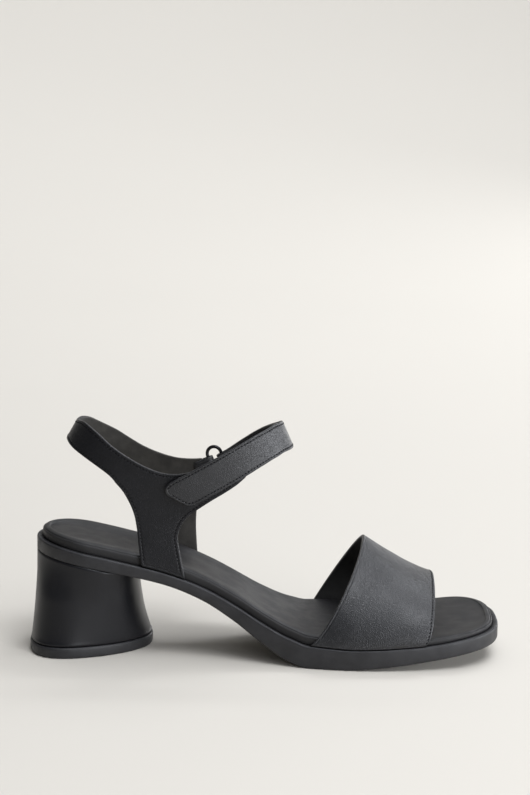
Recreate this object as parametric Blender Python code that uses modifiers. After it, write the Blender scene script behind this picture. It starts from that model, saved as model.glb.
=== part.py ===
"""A right-foot block heel sandal: one wide vamp band, a heel quarter with two legs, and an ankle strap that
runs through a ring on the inner side and folds back to a tab on the outer side.

The sandal stands on z = 0 with its toe towards +X, its outer (lateral) side towards -Y and its inner (medial)
side towards +Y. The origin is the middle of the heel's tread. All lengths are in metres.
"""

import math

import bmesh
import bpy
import numpy as np
from mathutils import Vector, geometry

# Sole
SOLE_LENGTH = 0.241
BALL_WIDTH = 0.0875
HEEL_SETBACK = 0.0288
SEAT_HEIGHT = 0.0522
TOE_SPRING = 0.0096
SOLE_THICKNESS = 0.0107
SEAT_RADIUS = 0.0292
TOE_ROUNDING = 0.036
TOE_SQUARENESS = 2.9
RIM_WIDTH = 0.0027
RIM_ROUNDING = 0.0009
RIM_DEPTH = 0.0018
TREAD_EDGE = 0.0014
FIT_GAP = 0.0003

# Footbed
FOOTBED_RISE = 0.0056
FOOTBED_SHOULDER = 0.0036
FOOTBED_DISH = 0.0016

# Heel
LIFT_HEIGHT = 0.0058
LIFT_OVERHANG = 0.0005
TREAD_LENGTH = 0.0622
TREAD_WIDTH = 0.0570
HEEL_TOP_LENGTH = 0.0518
HEEL_TOP_INSET = 0.0007

# Vamp band and the leather of all the upper
LEATHER = 0.0020
EDGE_ROUNDING = 0.0004
STRAP_SEAT_INSET = 0.0003
STRAP_SEAT_GAP = 0.0006
VAMP_PLACE = 0.5905
VAMP_LENGTH = 0.0613
VAMP_HEIGHT = 0.0475
VAMP_WIDTH = 0.0920

# Ankle form that the quarter and the strap are wrapped on. It is the quarter's outer face.
COLLAR_HEIGHT = 0.1200
ANKLE_LENGTH = 0.1032
ANKLE_BACK = -0.0082
ANKLE_HALF_WIDTH = 0.0274
ANKLE_SQUARENESS = 2.25
BACK_LEAN = 0.55
FRONT_LEAN = 0.46
LEAN_DEPTH = 0.0288
LEG_BLEND = 0.0240

# Ankle strap, its ring and the ring's leather keeper
STRAP_WIDTH = 0.0142
STRAP_LEATHER = 0.0016
STRAP_BEND_WIDTH = 0.0126
STRAP_SPREAD = 0.0130
STRAP_STEP = 0.0050
RING_WIRE = 0.0009
RING_END_RADIUS = 0.0037
RING_STRAIGHT = 0.0132
KEEPER_LEATHER = 0.0013
KEEPER_WIDTH = 0.0104
KEEPER_LENGTH = 0.0090

# Places along the ankle strap, as shares of the way round the ankle from its front, lateral being negative
TAB_END = -0.505
LAP_START = -0.335
LAYERS_SHIFT_START = -0.200
RING_PLACE = 0.359

# How finely the curved forms are divided
SIDE_STATIONS = 50
CROSS_CELLS = 6
FOOTBED_CELLS = 8
SHOULDER_TURNS = (0.0, 0.34, 0.67, 1.0)
HEEL_POINTS = 56
VAMP_ACROSS = 36
PATTERN_CELL = 0.0068
PATTERN_MARGIN = 0.55
EDGE_STEP = 0.0042
BEND_STEPS = 6
RING_END_STEPS = 8
FINE_STEPS = 400

BLACK_RUBBER = ("sole_rubber", (0.018, 0.018, 0.020), 0.50, 0.0)
BLACK_HEEL = ("heel_cover", (0.014, 0.014, 0.016), 0.38, 0.0)
BLACK_LEATHER = ("upper_leather", (0.016, 0.016, 0.018), 0.45, 0.0)
FOOTBED_LEATHER = ("footbed_leather", (0.022, 0.021, 0.022), 0.60, 0.0)
BLACK_METAL = ("ring_metal", (0.012, 0.012, 0.013), 0.35, 0.9)

# Sole sections. station is a share of SOLE_LENGTH from the back; lateral and medial are half widths as
# shares of BALL_WIDTH; rise and spring are the underside's height as shares of SEAT_HEIGHT and TOE_SPRING;
# thickness is the side wall's height as a share of SOLE_THICKNESS.
SOLE_COLUMNS = ("station", "lateral", "medial", "rise", "spring", "thickness")
SOLE_SECTIONS = (
    (0.00, 0.334, 0.330, 1.000, 0.00, 0.64),
    (0.07, 0.334, 0.330, 0.952, 0.00, 0.63),
    (0.14, 0.334, 0.329, 0.893, 0.00, 0.61),
    (0.21, 0.332, 0.322, 0.828, 0.00, 0.58),
    (0.29, 0.331, 0.308, 0.735, 0.00, 0.58),
    (0.36, 0.337, 0.288, 0.604, 0.00, 0.64),
    (0.43, 0.363, 0.284, 0.408, 0.00, 0.80),
    (0.49, 0.402, 0.316, 0.206, 0.00, 1.00),
    (0.55, 0.447, 0.378, 0.042, 0.00, 1.16),
    (0.59, 0.476, 0.433, 0.000, 0.00, 1.09),
    (0.66, 0.505, 0.478, 0.000, 0.00, 1.00),
    (0.72, 0.514, 0.487, 0.000, 0.10, 0.93),
    (0.79, 0.505, 0.485, 0.000, 0.31, 0.84),
    (0.87, 0.472, 0.474, 0.000, 0.60, 0.74),
    (0.94, 0.428, 0.480, 0.000, 0.84, 0.74),
    (1.00, 0.385, 0.460, 0.000, 1.00, 0.76),
)

# Footbed sections. rise is its edge's height over the rim as a share of FOOTBED_RISE; dish is its hollow's
# depth as a share of FOOTBED_DISH.
FOOTBED_COLUMNS = ("station", "rise", "dish")
FOOTBED_SECTIONS = (
    (0.00, 1.00, 0.80),
    (0.10, 1.00, 1.00),
    (0.30, 1.00, 0.70),
    (0.50, 1.00, 0.34),
    (0.62, 0.95, 0.30),
    (0.74, 0.66, 0.28),
    (0.88, 0.50, 0.26),
    (1.00, 0.44, 0.25),
)

# Heel sections. height is a share of the block from tread to seat; seat says how far the section has turned
# from the tread's size to the seat's; the other columns shape its outline.
HEEL_COLUMNS = ("height", "seat", "squareness", "taper", "twist")
HEEL_SECTIONS = (
    (0.00, 0.00, 2.30, 0.25, 0.15),
    (0.12, 0.18, 2.32, 0.21, 0.12),
    (0.35, 0.50, 2.38, 0.14, 0.08),
    (0.62, 0.74, 2.45, 0.07, 0.04),
    (1.00, 1.00, 2.60, 0.00, 0.00),
)

# Vamp sections from the rear edge to the front edge. way, lateral, crown and medial are shares of
# VAMP_LENGTH: where the section is, and where its line meets the sole on each side and the crown. rise is the
# crown's height as a share of VAMP_HEIGHT, ridge its side shift as a share of VAMP_WIDTH. The squareness
# and lean columns shape each side's arch.
VAMP_COLUMNS = (
    "way", "lateral", "crown", "medial", "rise", "ridge",
    "lateral_squareness", "medial_squareness", "lateral_lean", "medial_lean",
)
VAMP_SECTIONS = (
    (0.00, 0.000, 0.455, 0.020, 1.012, 0.050, 1.80, 1.68, 0.58, 1.00),
    (0.14, 0.133, 0.541, 0.155, 0.942, 0.045, 1.82, 1.70, 0.57, 1.00),
    (0.29, 0.274, 0.633, 0.300, 0.868, 0.040, 1.84, 1.72, 0.55, 1.00),
    (0.43, 0.406, 0.718, 0.434, 0.806, 0.035, 1.86, 1.74, 0.52, 1.00),
    (0.57, 0.538, 0.800, 0.568, 0.748, 0.025, 1.88, 1.76, 0.50, 1.00),
    (0.71, 0.670, 0.885, 0.702, 0.696, 0.015, 1.88, 1.78, 0.45, 1.00),
    (0.86, 0.811, 0.974, 0.846, 0.648, 0.005, 1.88, 1.80, 0.40, 1.00),
    (1.00, 0.943, 1.058, 0.980, 0.610, 0.000, 1.88, 1.82, 0.36, 1.00),
)

# Edges of the quarter. Each row is a turn, the share of the way round the ankle from its back to its front,
# and a height as a share of the way up from the sole's rim to the collar.
LATERAL_TOP = (
    (0.000, 0.992), (0.059, 1.008), (0.114, 1.002), (0.195, 0.939), (0.294, 0.828), (0.374, 0.751),
    (0.429, 0.709), (0.473, 0.690), (0.520, 0.697), (0.565, 0.728), (0.625, 0.788), (0.683, 0.835),
)
LATERAL_ARM = ((0.683, 0.835), (0.737, 0.735))
LATERAL_FRONT = (
    (0.737, 0.735), (0.672, 0.651), (0.615, 0.572), (0.560, 0.476), (0.530, 0.414), (0.510, 0.339),
    (0.505, 0.258), (0.511, 0.156), (0.525, 0.000),
)
LATERAL_REAR = (
    (0.408, 0.000), (0.400, 0.143), (0.392, 0.284), (0.380, 0.392), (0.356, 0.498), (0.331, 0.566),
    (0.296, 0.629), (0.230, 0.698), (0.153, 0.763), (0.060, 0.824), (0.000, 0.833),
)
MEDIAL_TOP = (
    (0.000, 0.992), (0.059, 0.998), (0.114, 0.979), (0.164, 0.942), (0.262, 0.856), (0.318, 0.796),
    (0.381, 0.730), (0.439, 0.687), (0.491, 0.665), (0.530, 0.665), (0.560, 0.673), (0.583, 0.683),
)
MEDIAL_ARM = ((0.583, 0.683), (0.628, 0.572))
MEDIAL_FRONT = (
    (0.628, 0.572), (0.608, 0.526), (0.588, 0.470), (0.573, 0.398), (0.567, 0.306), (0.566, 0.216),
    (0.569, 0.111), (0.574, 0.000),
)
MEDIAL_REAR = (
    (0.443, 0.000), (0.434, 0.142), (0.425, 0.270), (0.408, 0.391), (0.380, 0.494), (0.350, 0.565),
    (0.307, 0.631), (0.238, 0.699), (0.153, 0.763), (0.060, 0.824), (0.000, 0.833),
)

# The ankle strap's middle line, from the tab on the lateral side to the ring and on over the medial arm. way
# is the share of the way round the ankle from its front, lateral being negative; up is as in the edges.
STRAP_COLUMNS = ("way", "up")
STRAP_LINE = (
    (-0.540, 0.481), (-0.495, 0.550), (-0.444, 0.626), (-0.404, 0.684), (-0.341, 0.763), (-0.282, 0.826),
    (-0.219, 0.880), (-0.156, 0.917), (-0.085, 0.938), (0.000, 0.933), (0.091, 0.907), (0.146, 0.880),
    (0.195, 0.843), (0.235, 0.803), (0.280, 0.750), (0.359, 0.653), (0.410, 0.589), (0.480, 0.506),
)

# The strap's tab. reach is the distance from its end; low and high are its two edges measured from the
# strap's middle line; all are shares of STRAP_WIDTH.
TAB_COLUMNS = ("reach", "low", "high")
TAB_SECTIONS = (
    (0.400, -0.500, 0.500),
    (0.264, -0.430, 0.486),
    (0.162, -0.250, 0.458),
    (0.106, -0.134, 0.430),
    (0.042, 0.040, 0.373),
    (0.000, 0.100, 0.240),
)


def column(table, names, name):
    """One column of a table as an array."""
    return np.array([row[names.index(name)] for row in table], float)


def smooth_curve(xs, ys):
    """A smooth function through the points that never overshoots them (monotone cubic)."""
    steps = np.diff(xs)
    slopes = np.diff(ys) / steps
    tangents = np.zeros(len(xs))
    for i in range(1, len(xs) - 1):
        if slopes[i - 1] * slopes[i] > 0:
            before = 2 * steps[i] + steps[i - 1]
            after = steps[i] + 2 * steps[i - 1]
            tangents[i] = (before + after) / (before / slopes[i - 1] + after / slopes[i])
    tangents[0] = slopes[0]
    tangents[-1] = slopes[-1]

    def value(x):
        i = np.clip(np.searchsorted(xs, x) - 1, 0, len(xs) - 2)
        t = (x - xs[i]) / steps[i]
        rise = (3 - 2 * t) * t * t
        bend = t * (1 - t) * (tangents[i] * (1 - t) - tangents[i + 1] * t)
        return ys[i] * (1 - rise) + ys[i + 1] * rise + steps[i] * bend

    return value


def smooth_step(t):
    t = np.clip(t, 0.0, 1.0)
    return t * t * (3 - 2 * t)


def signed_power(value, power):
    return np.sign(value) * np.abs(value) ** power


def running_length(points):
    """The distance along a polyline at each of its points."""
    return np.concatenate([[0], np.cumsum(np.linalg.norm(np.diff(points, axis=0), axis=1))])


def even_steps(points, count):
    """Points spaced evenly along a dense polyline."""
    lengths = running_length(points)
    wanted = np.linspace(0, lengths[-1], count)
    return np.column_stack([np.interp(wanted, lengths, points[:, k]) for k in range(points.shape[1])])


def table_curve(table, names, name, size=1.0, along=None):
    """A smooth function for one column of a table, over its first column."""
    return smooth_curve(column(table, names, along or names[0]), column(table, names, name) * size)


# Sole form
LATERAL = table_curve(SOLE_SECTIONS, SOLE_COLUMNS, "lateral", BALL_WIDTH)
MEDIAL = table_curve(SOLE_SECTIONS, SOLE_COLUMNS, "medial", BALL_WIDTH)
THICKNESS = table_curve(SOLE_SECTIONS, SOLE_COLUMNS, "thickness", SOLE_THICKNESS)
UNDERSIDE = smooth_curve(
    column(SOLE_SECTIONS, SOLE_COLUMNS, "station"),
    column(SOLE_SECTIONS, SOLE_COLUMNS, "rise") * SEAT_HEIGHT
    + column(SOLE_SECTIONS, SOLE_COLUMNS, "spring") * TOE_SPRING,
)


def station(x):
    return np.clip((x + HEEL_SETBACK) / SOLE_LENGTH, 0.0, 1.0)


def underside(x):
    return UNDERSIDE(station(x))


def rim(x):
    return underside(x) + THICKNESS(station(x))


def deck(x):
    """The sole's floor inside its rim, which the footbed stands on."""
    return rim(x) - RIM_DEPTH


def side_y(x, side):
    """The sole's outline at x: side is -1 for lateral and 1 for medial."""
    s = station(x)
    back = np.clip(1 - s * SOLE_LENGTH / SEAT_RADIUS, 0, 1)
    front = np.clip(1 - (1 - s) * SOLE_LENGTH / TOE_ROUNDING, 0, 1)
    closing = np.sqrt(1 - back**2) * (1 - front**TOE_SQUARENESS) ** (1 / TOE_SQUARENESS)
    half = LATERAL(s) if side < 0 else MEDIAL(s)
    return side * half * closing


def sole_outline():
    """The sole's outline as a closed loop, from the back along the lateral side, round the toe and back."""
    angles = np.linspace(0, math.pi, SIDE_STATIONS + 1)
    x = SOLE_LENGTH * (1 - np.cos(angles)) / 2 - HEEL_SETBACK
    lateral = np.stack([x, side_y(x, -1)], 1)
    medial = np.stack([x, side_y(x, 1)], 1)
    return np.concatenate([lateral, medial[-2:0:-1]])


def inset_loop(loop, distance):
    """A closed loop moved inwards along its own normals."""
    tangent = np.roll(loop, -1, 0) - np.roll(loop, 1, 0)
    normal = np.stack([-tangent[:, 1], tangent[:, 0]], 1)
    normal /= np.linalg.norm(normal, axis=1)[:, None]
    return loop + normal * distance


def raised(loop, height):
    """A flat loop as points in space, height being a number or a function of x."""
    z = height(loop[:, 0]) if callable(height) else np.full(len(loop), height)
    return np.column_stack([loop, z])


def add_object(name, data, material):
    """An object of the sandal from a mesh or a curve, with its material."""
    label, colour, roughness, metallic = material
    made = bpy.data.materials.get(label)
    if made is None:
        made = bpy.data.materials.new(label)
        made.use_nodes = True
        shader = made.node_tree.nodes["Principled BSDF"]
        shader.inputs["Base Color"].default_value = (*colour, 1)
        shader.inputs["Roughness"].default_value = roughness
        shader.inputs["Metallic"].default_value = metallic
    data.materials.append(made)
    obj = bpy.data.objects.new(name, data)
    SANDAL.objects.link(obj)
    return obj


def to_mesh(name, bm):
    mesh = bpy.data.meshes.new(name)
    bm.to_mesh(mesh)
    bm.free()
    mesh.shade_smooth()
    return mesh


def add_thickness(obj, thickness, offset):
    """Turns an open surface into a wall with rounded edges."""
    solidify = obj.modifiers.new("wall", "SOLIDIFY")
    solidify.thickness = thickness
    solidify.offset = offset
    solidify.use_even_offset = True
    bevel = obj.modifiers.new("edges", "BEVEL")
    bevel.width = EDGE_ROUNDING
    bevel.segments = 1
    bevel.limit_method = "ANGLE"
    bevel.angle_limit = math.radians(50)


def fill_rows(bm, ring, height, cells):
    """Fills a ring that runs lateral then medial with rows across it, at height(x, y)."""
    half = len(ring) // 2
    rows = []
    for i in range(1, half):
        row = [ring[i]]
        for k in range(1, cells):
            x, y, _ = ring[i].co.lerp(ring[-i].co, k / cells)
            row.append(bm.verts.new((x, y, float(height(x, y)))))
        rows.append(row + [ring[-i]])
    for k in range(cells):
        bm.faces.new((ring[0], rows[0][k], rows[0][k + 1]))
        bm.faces.new((ring[half], rows[-1][k + 1], rows[-1][k]))
    for lower, upper in zip(rows, rows[1:]):
        for k in range(cells):
            bm.faces.new((lower[k], lower[k + 1], upper[k + 1], upper[k]))


def stacked_mesh(name, rings, bottom, top, cells=CROSS_CELLS):
    """A closed mesh through stacked rings, closed below and above by rows at bottom(x, y) and top(x, y)."""
    bm = bmesh.new()
    made = [[bm.verts.new(point) for point in ring] for ring in rings]
    for lower, upper in zip(made, made[1:]):
        for i in range(len(lower)):
            j = (i + 1) % len(lower)
            bm.faces.new((lower[i], lower[j], upper[j], upper[i]))
    fill_rows(bm, made[0], bottom, cells)
    fill_rows(bm, made[-1], top, cells)
    bmesh.ops.recalc_face_normals(bm, faces=bm.faces)
    mesh = to_mesh(name, bm)
    mesh.set_sharp_from_angle(angle=math.radians(40))
    return mesh


def make_outsole():
    outline = sole_outline()
    rings = (
        raised(inset_loop(outline, TREAD_EDGE), underside),
        raised(outline, lambda x: underside(x) + TREAD_EDGE),
        raised(outline, lambda x: rim(x) - RIM_ROUNDING),
        raised(inset_loop(outline, RIM_ROUNDING), rim),
        raised(inset_loop(outline, RIM_WIDTH), rim),
        raised(inset_loop(outline, RIM_WIDTH), deck),
    )
    mesh = stacked_mesh("outsole", rings, lambda x, y: underside(x), lambda x, y: deck(x))
    add_object("outsole", mesh, BLACK_RUBBER)


# Footbed form
FOOTBED_INSET = RIM_WIDTH + FIT_GAP
FOOTBED_EDGE = table_curve(FOOTBED_SECTIONS, FOOTBED_COLUMNS, "rise", FOOTBED_RISE)
FOOTBED_HOLLOW = table_curve(FOOTBED_SECTIONS, FOOTBED_COLUMNS, "dish", FOOTBED_DISH)


def footbed_side(x, share):
    """A height on the footbed's side, share being 0 at the rim and 1 at its upper edge."""
    return rim(x) + FOOTBED_EDGE(station(x)) * share


def footbed_top(x, y):
    """The footbed's surface, dished between its raised edges."""
    lateral = side_y(x, -1) + FOOTBED_INSET + FOOTBED_SHOULDER
    medial = side_y(x, 1) - FOOTBED_INSET - FOOTBED_SHOULDER
    across = np.clip(abs(2 * y - lateral - medial) / max(medial - lateral, FIT_GAP), 0, 1)
    return footbed_side(x, 1.0) - FOOTBED_HOLLOW(station(x)) * smooth_step((1 - across) * 2)


def make_footbed():
    outline = sole_outline()
    rings = [raised(inset_loop(outline, FOOTBED_INSET), lambda x: deck(x) + FIT_GAP)]
    for turn in SHOULDER_TURNS:
        angle = turn * math.pi / 2
        inset = FOOTBED_INSET + FOOTBED_SHOULDER * (1 - math.cos(angle))
        share = 0.22 + 0.78 * math.sin(angle)
        rings.append(raised(inset_loop(outline, inset), lambda x, share=share: footbed_side(x, share)))
    mesh = stacked_mesh("footbed", rings, lambda x, y: deck(x) + FIT_GAP, footbed_top, FOOTBED_CELLS)
    add_object("footbed", mesh, FOOTBED_LEATHER)


def heel_loop(section, grow=0.0):
    """One section of the heel in plan, from the back along the lateral side, round and back."""
    seat = section["seat"]
    half_length = ((1 - seat) * TREAD_LENGTH + seat * HEEL_TOP_LENGTH) / 2
    half_width = (1 - seat) * TREAD_WIDTH / 2 + seat * (SEAT_RADIUS - HEEL_TOP_INSET)
    centre = seat * (HEEL_TOP_LENGTH / 2 - HEEL_SETBACK + HEEL_TOP_INSET)
    angles = np.linspace(0, 2 * math.pi, HEEL_POINTS, endpoint=False)
    along = -(half_length + grow) * signed_power(np.cos(angles), 2 / section["squareness"])
    across = -(half_width + grow) * signed_power(np.sin(angles), 2 / section["squareness"])
    across = across * (1 - section["taper"] * along / half_length) + section["twist"] * along
    return np.column_stack([centre + along, across])


def make_heel():
    foot = LIFT_HEIGHT + FIT_GAP
    rings = []
    for row in HEEL_SECTIONS:
        section = dict(zip(HEEL_COLUMNS, row))
        height = section["height"]
        rings.append(
            raised(
                heel_loop(section),
                lambda x, height=height: foot + height * (underside(x) - FIT_GAP - foot),
            )
        )
    mesh = stacked_mesh("heel_block", rings, lambda x, y: foot, lambda x, y: underside(x) - FIT_GAP)
    add_object("heel_block", mesh, BLACK_HEEL)


def make_top_lift():
    tread = dict(zip(HEEL_COLUMNS, HEEL_SECTIONS[0]))
    rings = (
        raised(heel_loop(tread), 0.0),
        raised(heel_loop(tread, LIFT_OVERHANG), LIFT_OVERHANG),
        raised(heel_loop(tread, LIFT_OVERHANG), LIFT_HEIGHT - LIFT_OVERHANG),
        raised(heel_loop(tread), LIFT_HEIGHT),
    )
    mesh = stacked_mesh("heel_top_lift", rings, lambda x, y: 0.0, lambda x, y: LIFT_HEIGHT)
    add_object("heel_top_lift", mesh, BLACK_RUBBER)


def vamp_arch(section):
    """One arch of the vamp's outer face, from its lateral foot over the crown to its medial foot."""
    rear_x = VAMP_PLACE * SOLE_LENGTH - HEEL_SETBACK
    crown_x = rear_x + section["crown"] * VAMP_LENGTH
    crown_z = rim(rear_x) + section["rise"] * VAMP_HEIGHT
    ridge = section["ridge"] * VAMP_WIDTH
    turn = np.linspace(0, math.pi / 2, FINE_STEPS)
    halves = []
    for side, label in ((-1, "lateral"), (1, "medial")):
        foot_x = rear_x + section[label] * VAMP_LENGTH
        foot_y = side_y(foot_x, side) - side * STRAP_SEAT_INSET
        foot_z = rim(foot_x) + STRAP_SEAT_GAP
        power = 2 / section[label + "_squareness"]
        high = np.sin(turn) ** power
        x = foot_x + (crown_x - foot_x) * high ** section[label + "_lean"]
        y = ridge + (foot_y - ridge) * signed_power(np.cos(turn), power)
        halves.append(np.column_stack([x, y, foot_z + (crown_z - foot_z) * high]))
    return even_steps(np.concatenate([halves[0], halves[1][-2::-1]]), VAMP_ACROSS + 1)


def make_vamp():
    bm = bmesh.new()
    arches = []
    for row in VAMP_SECTIONS:
        arches.append([bm.verts.new(point) for point in vamp_arch(dict(zip(VAMP_COLUMNS, row)))])
    for rear, front in zip(arches, arches[1:]):
        for k in range(VAMP_ACROSS):
            bm.faces.new((rear[k], front[k], front[k + 1], rear[k + 1]))
    vamp = add_object("vamp_band", to_mesh("vamp_band", bm), BLACK_LEATHER)
    add_thickness(vamp, LEATHER, -1.0)


# Ankle form
def ankle_plan(angle):
    """The ankle form's plan with half sizes of 1, angle being 0 at its back and pi at its front."""
    power = 2 / ANKLE_SQUARENESS
    return -signed_power(np.cos(angle), power), np.abs(np.sin(angle)) ** power


ANGLES = np.linspace(0, math.pi, FINE_STEPS)
GIRTH = running_length(np.column_stack(ankle_plan(ANGLES)) * (ANKLE_LENGTH / 2, ANKLE_HALF_WIDTH))
HALF_GIRTH = GIRTH[-1]


def ankle_point(turn, height, depth=0.0):
    """A point on the ankle form. turn is 0 at the back and 1 at the front, negative by the lateral side; depth
    is measured inwards."""
    side = -1 if turn < 0 else 1
    along, across = ankle_plan(np.interp(abs(turn) * HALF_GIRTH, GIRTH, ANGLES))
    below = max(height - COLLAR_HEIGHT, -LEAN_DEPTH)
    back = ANKLE_BACK + BACK_LEAN * below
    half = (ANKLE_LENGTH - (FRONT_LEAN + BACK_LEAN) * below) / 2
    slope = ANKLE_SQUARENESS - 1
    normal = Vector((signed_power(along, slope) / half, side * across**slope / ANKLE_HALF_WIDTH, 0))
    x = back + half + half * along
    y = side * ANKLE_HALF_WIDTH * across
    blend = 1 - smooth_step((height - rim(x)) / LEG_BLEND)
    y += blend * (side_y(x, side) - side * STRAP_SEAT_INSET - y)
    return Vector((x, y, height)) - normal.normalized() * depth


def edge_height(turn, up):
    """The height at a share of the way up from the sole's rim to the collar."""
    foot = float(rim(ankle_point(turn, 0.0).x)) + STRAP_SEAT_GAP
    return foot + up * (COLLAR_HEIGHT - foot)


def smooth_line(points):
    """A smooth line through points (Catmull-Rom), with its own points about EDGE_STEP apart."""
    controls = np.vstack([2 * points[0] - points[1], points, 2 * points[-1] - points[-2]])
    dense = []
    for p0, p1, p2, p3 in zip(controls, controls[1:], controls[2:], controls[3:]):
        for t in np.linspace(0, 1, 12, endpoint=False):
            bend = (2 * p0 - 5 * p1 + 4 * p2 - p3) * t**2 + (3 * p1 - p0 - 3 * p2 + p3) * t**3
            dense.append((2 * p1 + (p2 - p0) * t + bend) / 2)
    dense = np.array(dense + [points[-1]])
    return even_steps(dense, max(2, round(running_length(dense)[-1] / EDGE_STEP) + 1))


def pattern_edge(rows, side):
    """An edge of the quarter in its flat pattern: distance round the ankle and height."""
    points = [(side * turn * HALF_GIRTH, edge_height(side * turn, up)) for turn, up in rows]
    return smooth_line(np.array(points))


def leg_foot(front, rear, side):
    """The lower edge of a leg in the flat pattern, along the sole's rim."""
    turns = np.linspace(front[-1][0], rear[0][0], 5)
    return pattern_edge([(turn, 0.0) for turn in turns], side)


def quarter_outline():
    """The quarter's flat pattern as one closed loop of points."""
    lines = [
        pattern_edge(LATERAL_TOP, -1),
        pattern_edge(LATERAL_ARM, -1),
        pattern_edge(LATERAL_FRONT, -1),
        leg_foot(LATERAL_FRONT, LATERAL_REAR, -1),
        pattern_edge(LATERAL_REAR, -1),
        pattern_edge(MEDIAL_REAR, 1)[::-1],
        leg_foot(MEDIAL_FRONT, MEDIAL_REAR, 1)[::-1],
        pattern_edge(MEDIAL_FRONT, 1)[::-1],
        pattern_edge(MEDIAL_ARM, 1)[::-1],
        pattern_edge(MEDIAL_TOP, 1)[::-1],
    ]
    return np.concatenate([line[:-1] for line in lines])


def inside_loop(point, loop):
    x, y = point
    inside = False
    for (x0, y0), (x1, y1) in zip(loop, np.roll(loop, -1, 0)):
        if (y0 > y) != (y1 > y) and x < (x1 - x0) * (y - y0) / (y1 - y0) + x0:
            inside = not inside
    return inside


def edge_distance(point, loop):
    along = np.roll(loop, -1, 0) - loop
    share = np.clip(((point - loop) * along).sum(1) / (along**2).sum(1), 0, 1)
    return np.linalg.norm(loop + along * share[:, None] - point, axis=1).min()


def pattern_triangles(loop):
    """Triangles of the flat pattern, with points inside it about PATTERN_CELL apart."""
    low, high = loop.min(0), loop.max(0)
    points = [Vector(point) for point in loop]
    row_step = PATTERN_CELL * math.sin(math.pi / 3)
    for j, y in enumerate(np.arange(low[1], high[1], row_step)):
        for x in np.arange(low[0] + (j % 2) * PATTERN_CELL / 2, high[0], PATTERN_CELL):
            point = np.array((x, y))
            if inside_loop(point, loop) and edge_distance(point, loop) > PATTERN_CELL * PATTERN_MARGIN:
                points.append(Vector(point))
    made = geometry.delaunay_2d_cdt(points, [], [list(range(len(loop)))], 1, 1e-7)
    return made[0], made[2]


def make_quarter():
    flat, triangles = pattern_triangles(quarter_outline())
    bm = bmesh.new()
    verts = [bm.verts.new(ankle_point(point[0] / HALF_GIRTH, point[1])) for point in flat]
    for a, b, c in triangles:
        bm.faces.new((verts[c], verts[b], verts[a]))
    quarter = add_object("heel_quarter", to_mesh("heel_quarter", bm), BLACK_LEATHER)
    add_thickness(quarter, LEATHER, -1.0)


# Strap form: its middle line on the ankle form
def on_strap(way, up):
    turn = -(1 + way) if way < 0 else 1 - way
    return ankle_point(turn, edge_height(turn, up))


STRAP_UP = table_curve(STRAP_LINE, STRAP_COLUMNS, "up")
STRAP_WAYS = np.linspace(STRAP_LINE[0][0], STRAP_LINE[-1][0], FINE_STEPS)
STRAP_LENGTHS = running_length(np.array([on_strap(way, STRAP_UP(way)) for way in STRAP_WAYS]))


def strap_distance(way):
    return float(np.interp(way, STRAP_WAYS, STRAP_LENGTHS))


def strap_frame(distance):
    """A point of the strap's line, and unit vectors along it, across it upwards and outwards."""
    ways = [np.interp(distance + step, STRAP_LENGTHS, STRAP_WAYS) for step in (-STRAP_STEP / 2, STRAP_STEP / 2)]
    way = np.interp(distance, STRAP_LENGTHS, STRAP_WAYS)
    point = on_strap(way, STRAP_UP(way))
    along = (on_strap(ways[1], STRAP_UP(ways[1])) - on_strap(ways[0], STRAP_UP(ways[0]))).normalized()
    above = on_strap(way, STRAP_UP(way) + 0.02) - on_strap(way, STRAP_UP(way) - 0.02)
    outward = along.cross(above).normalized()
    return point, along, outward.cross(along), outward


def layers_middle(distance):
    """How far out of the ankle form the middle between the strap's two layers lies."""
    lateral = FIT_GAP * 1.5 + STRAP_LEATHER
    ring = -LEATHER / 2
    start = strap_distance(LAYERS_SHIFT_START)
    end = strap_distance(RING_PLACE) - RING_END_RADIUS - STRAP_SPREAD / 2
    return lateral + (ring - lateral) * float(smooth_step((distance - start) / (end - start)))


def folded_strip(bar, inner_end, outer_end, middle, half_gap, bend_radius, width):
    """The lower and upper edges of a strip that runs to a bar, bends round it and runs back. bar, inner_end
    and outer_end are distances along the strap's line; middle, half_gap and width are functions of it."""
    edges = []

    def add(distance, shift, ahead=0.0):
        point, along, across, outward = strap_frame(distance)
        centre = point + along * ahead + outward * (middle(distance) + shift)
        reach = across * (width(distance) / 2)
        edges.append((centre - reach, centre + reach))

    inner_steps = round(abs(bar - inner_end) / STRAP_STEP)
    for distance in np.linspace(inner_end, bar, inner_steps + 1)[:-1]:
        add(distance, -half_gap(distance))
    way = math.copysign(1, bar - inner_end)
    for angle in np.linspace(-math.pi / 2, math.pi / 2, BEND_STEPS + 1):
        add(bar, bend_radius * math.sin(angle), way * bend_radius * math.cos(angle))
    outer_steps = round(abs(bar - outer_end) / STRAP_STEP)
    for distance in np.linspace(bar, outer_end, outer_steps + 1)[1:]:
        add(distance, half_gap(distance))
    return edges


def strip_object(name, edges, thickness):
    bm = bmesh.new()
    rows = [(bm.verts.new(low), bm.verts.new(high)) for low, high in edges]
    for (low, high), (next_low, next_high) in zip(rows, rows[1:]):
        bm.faces.new((low, next_low, next_high, high))
    strip = add_object(name, to_mesh(name, bm), BLACK_LEATHER)
    add_thickness(strip, thickness, 0.0)


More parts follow.
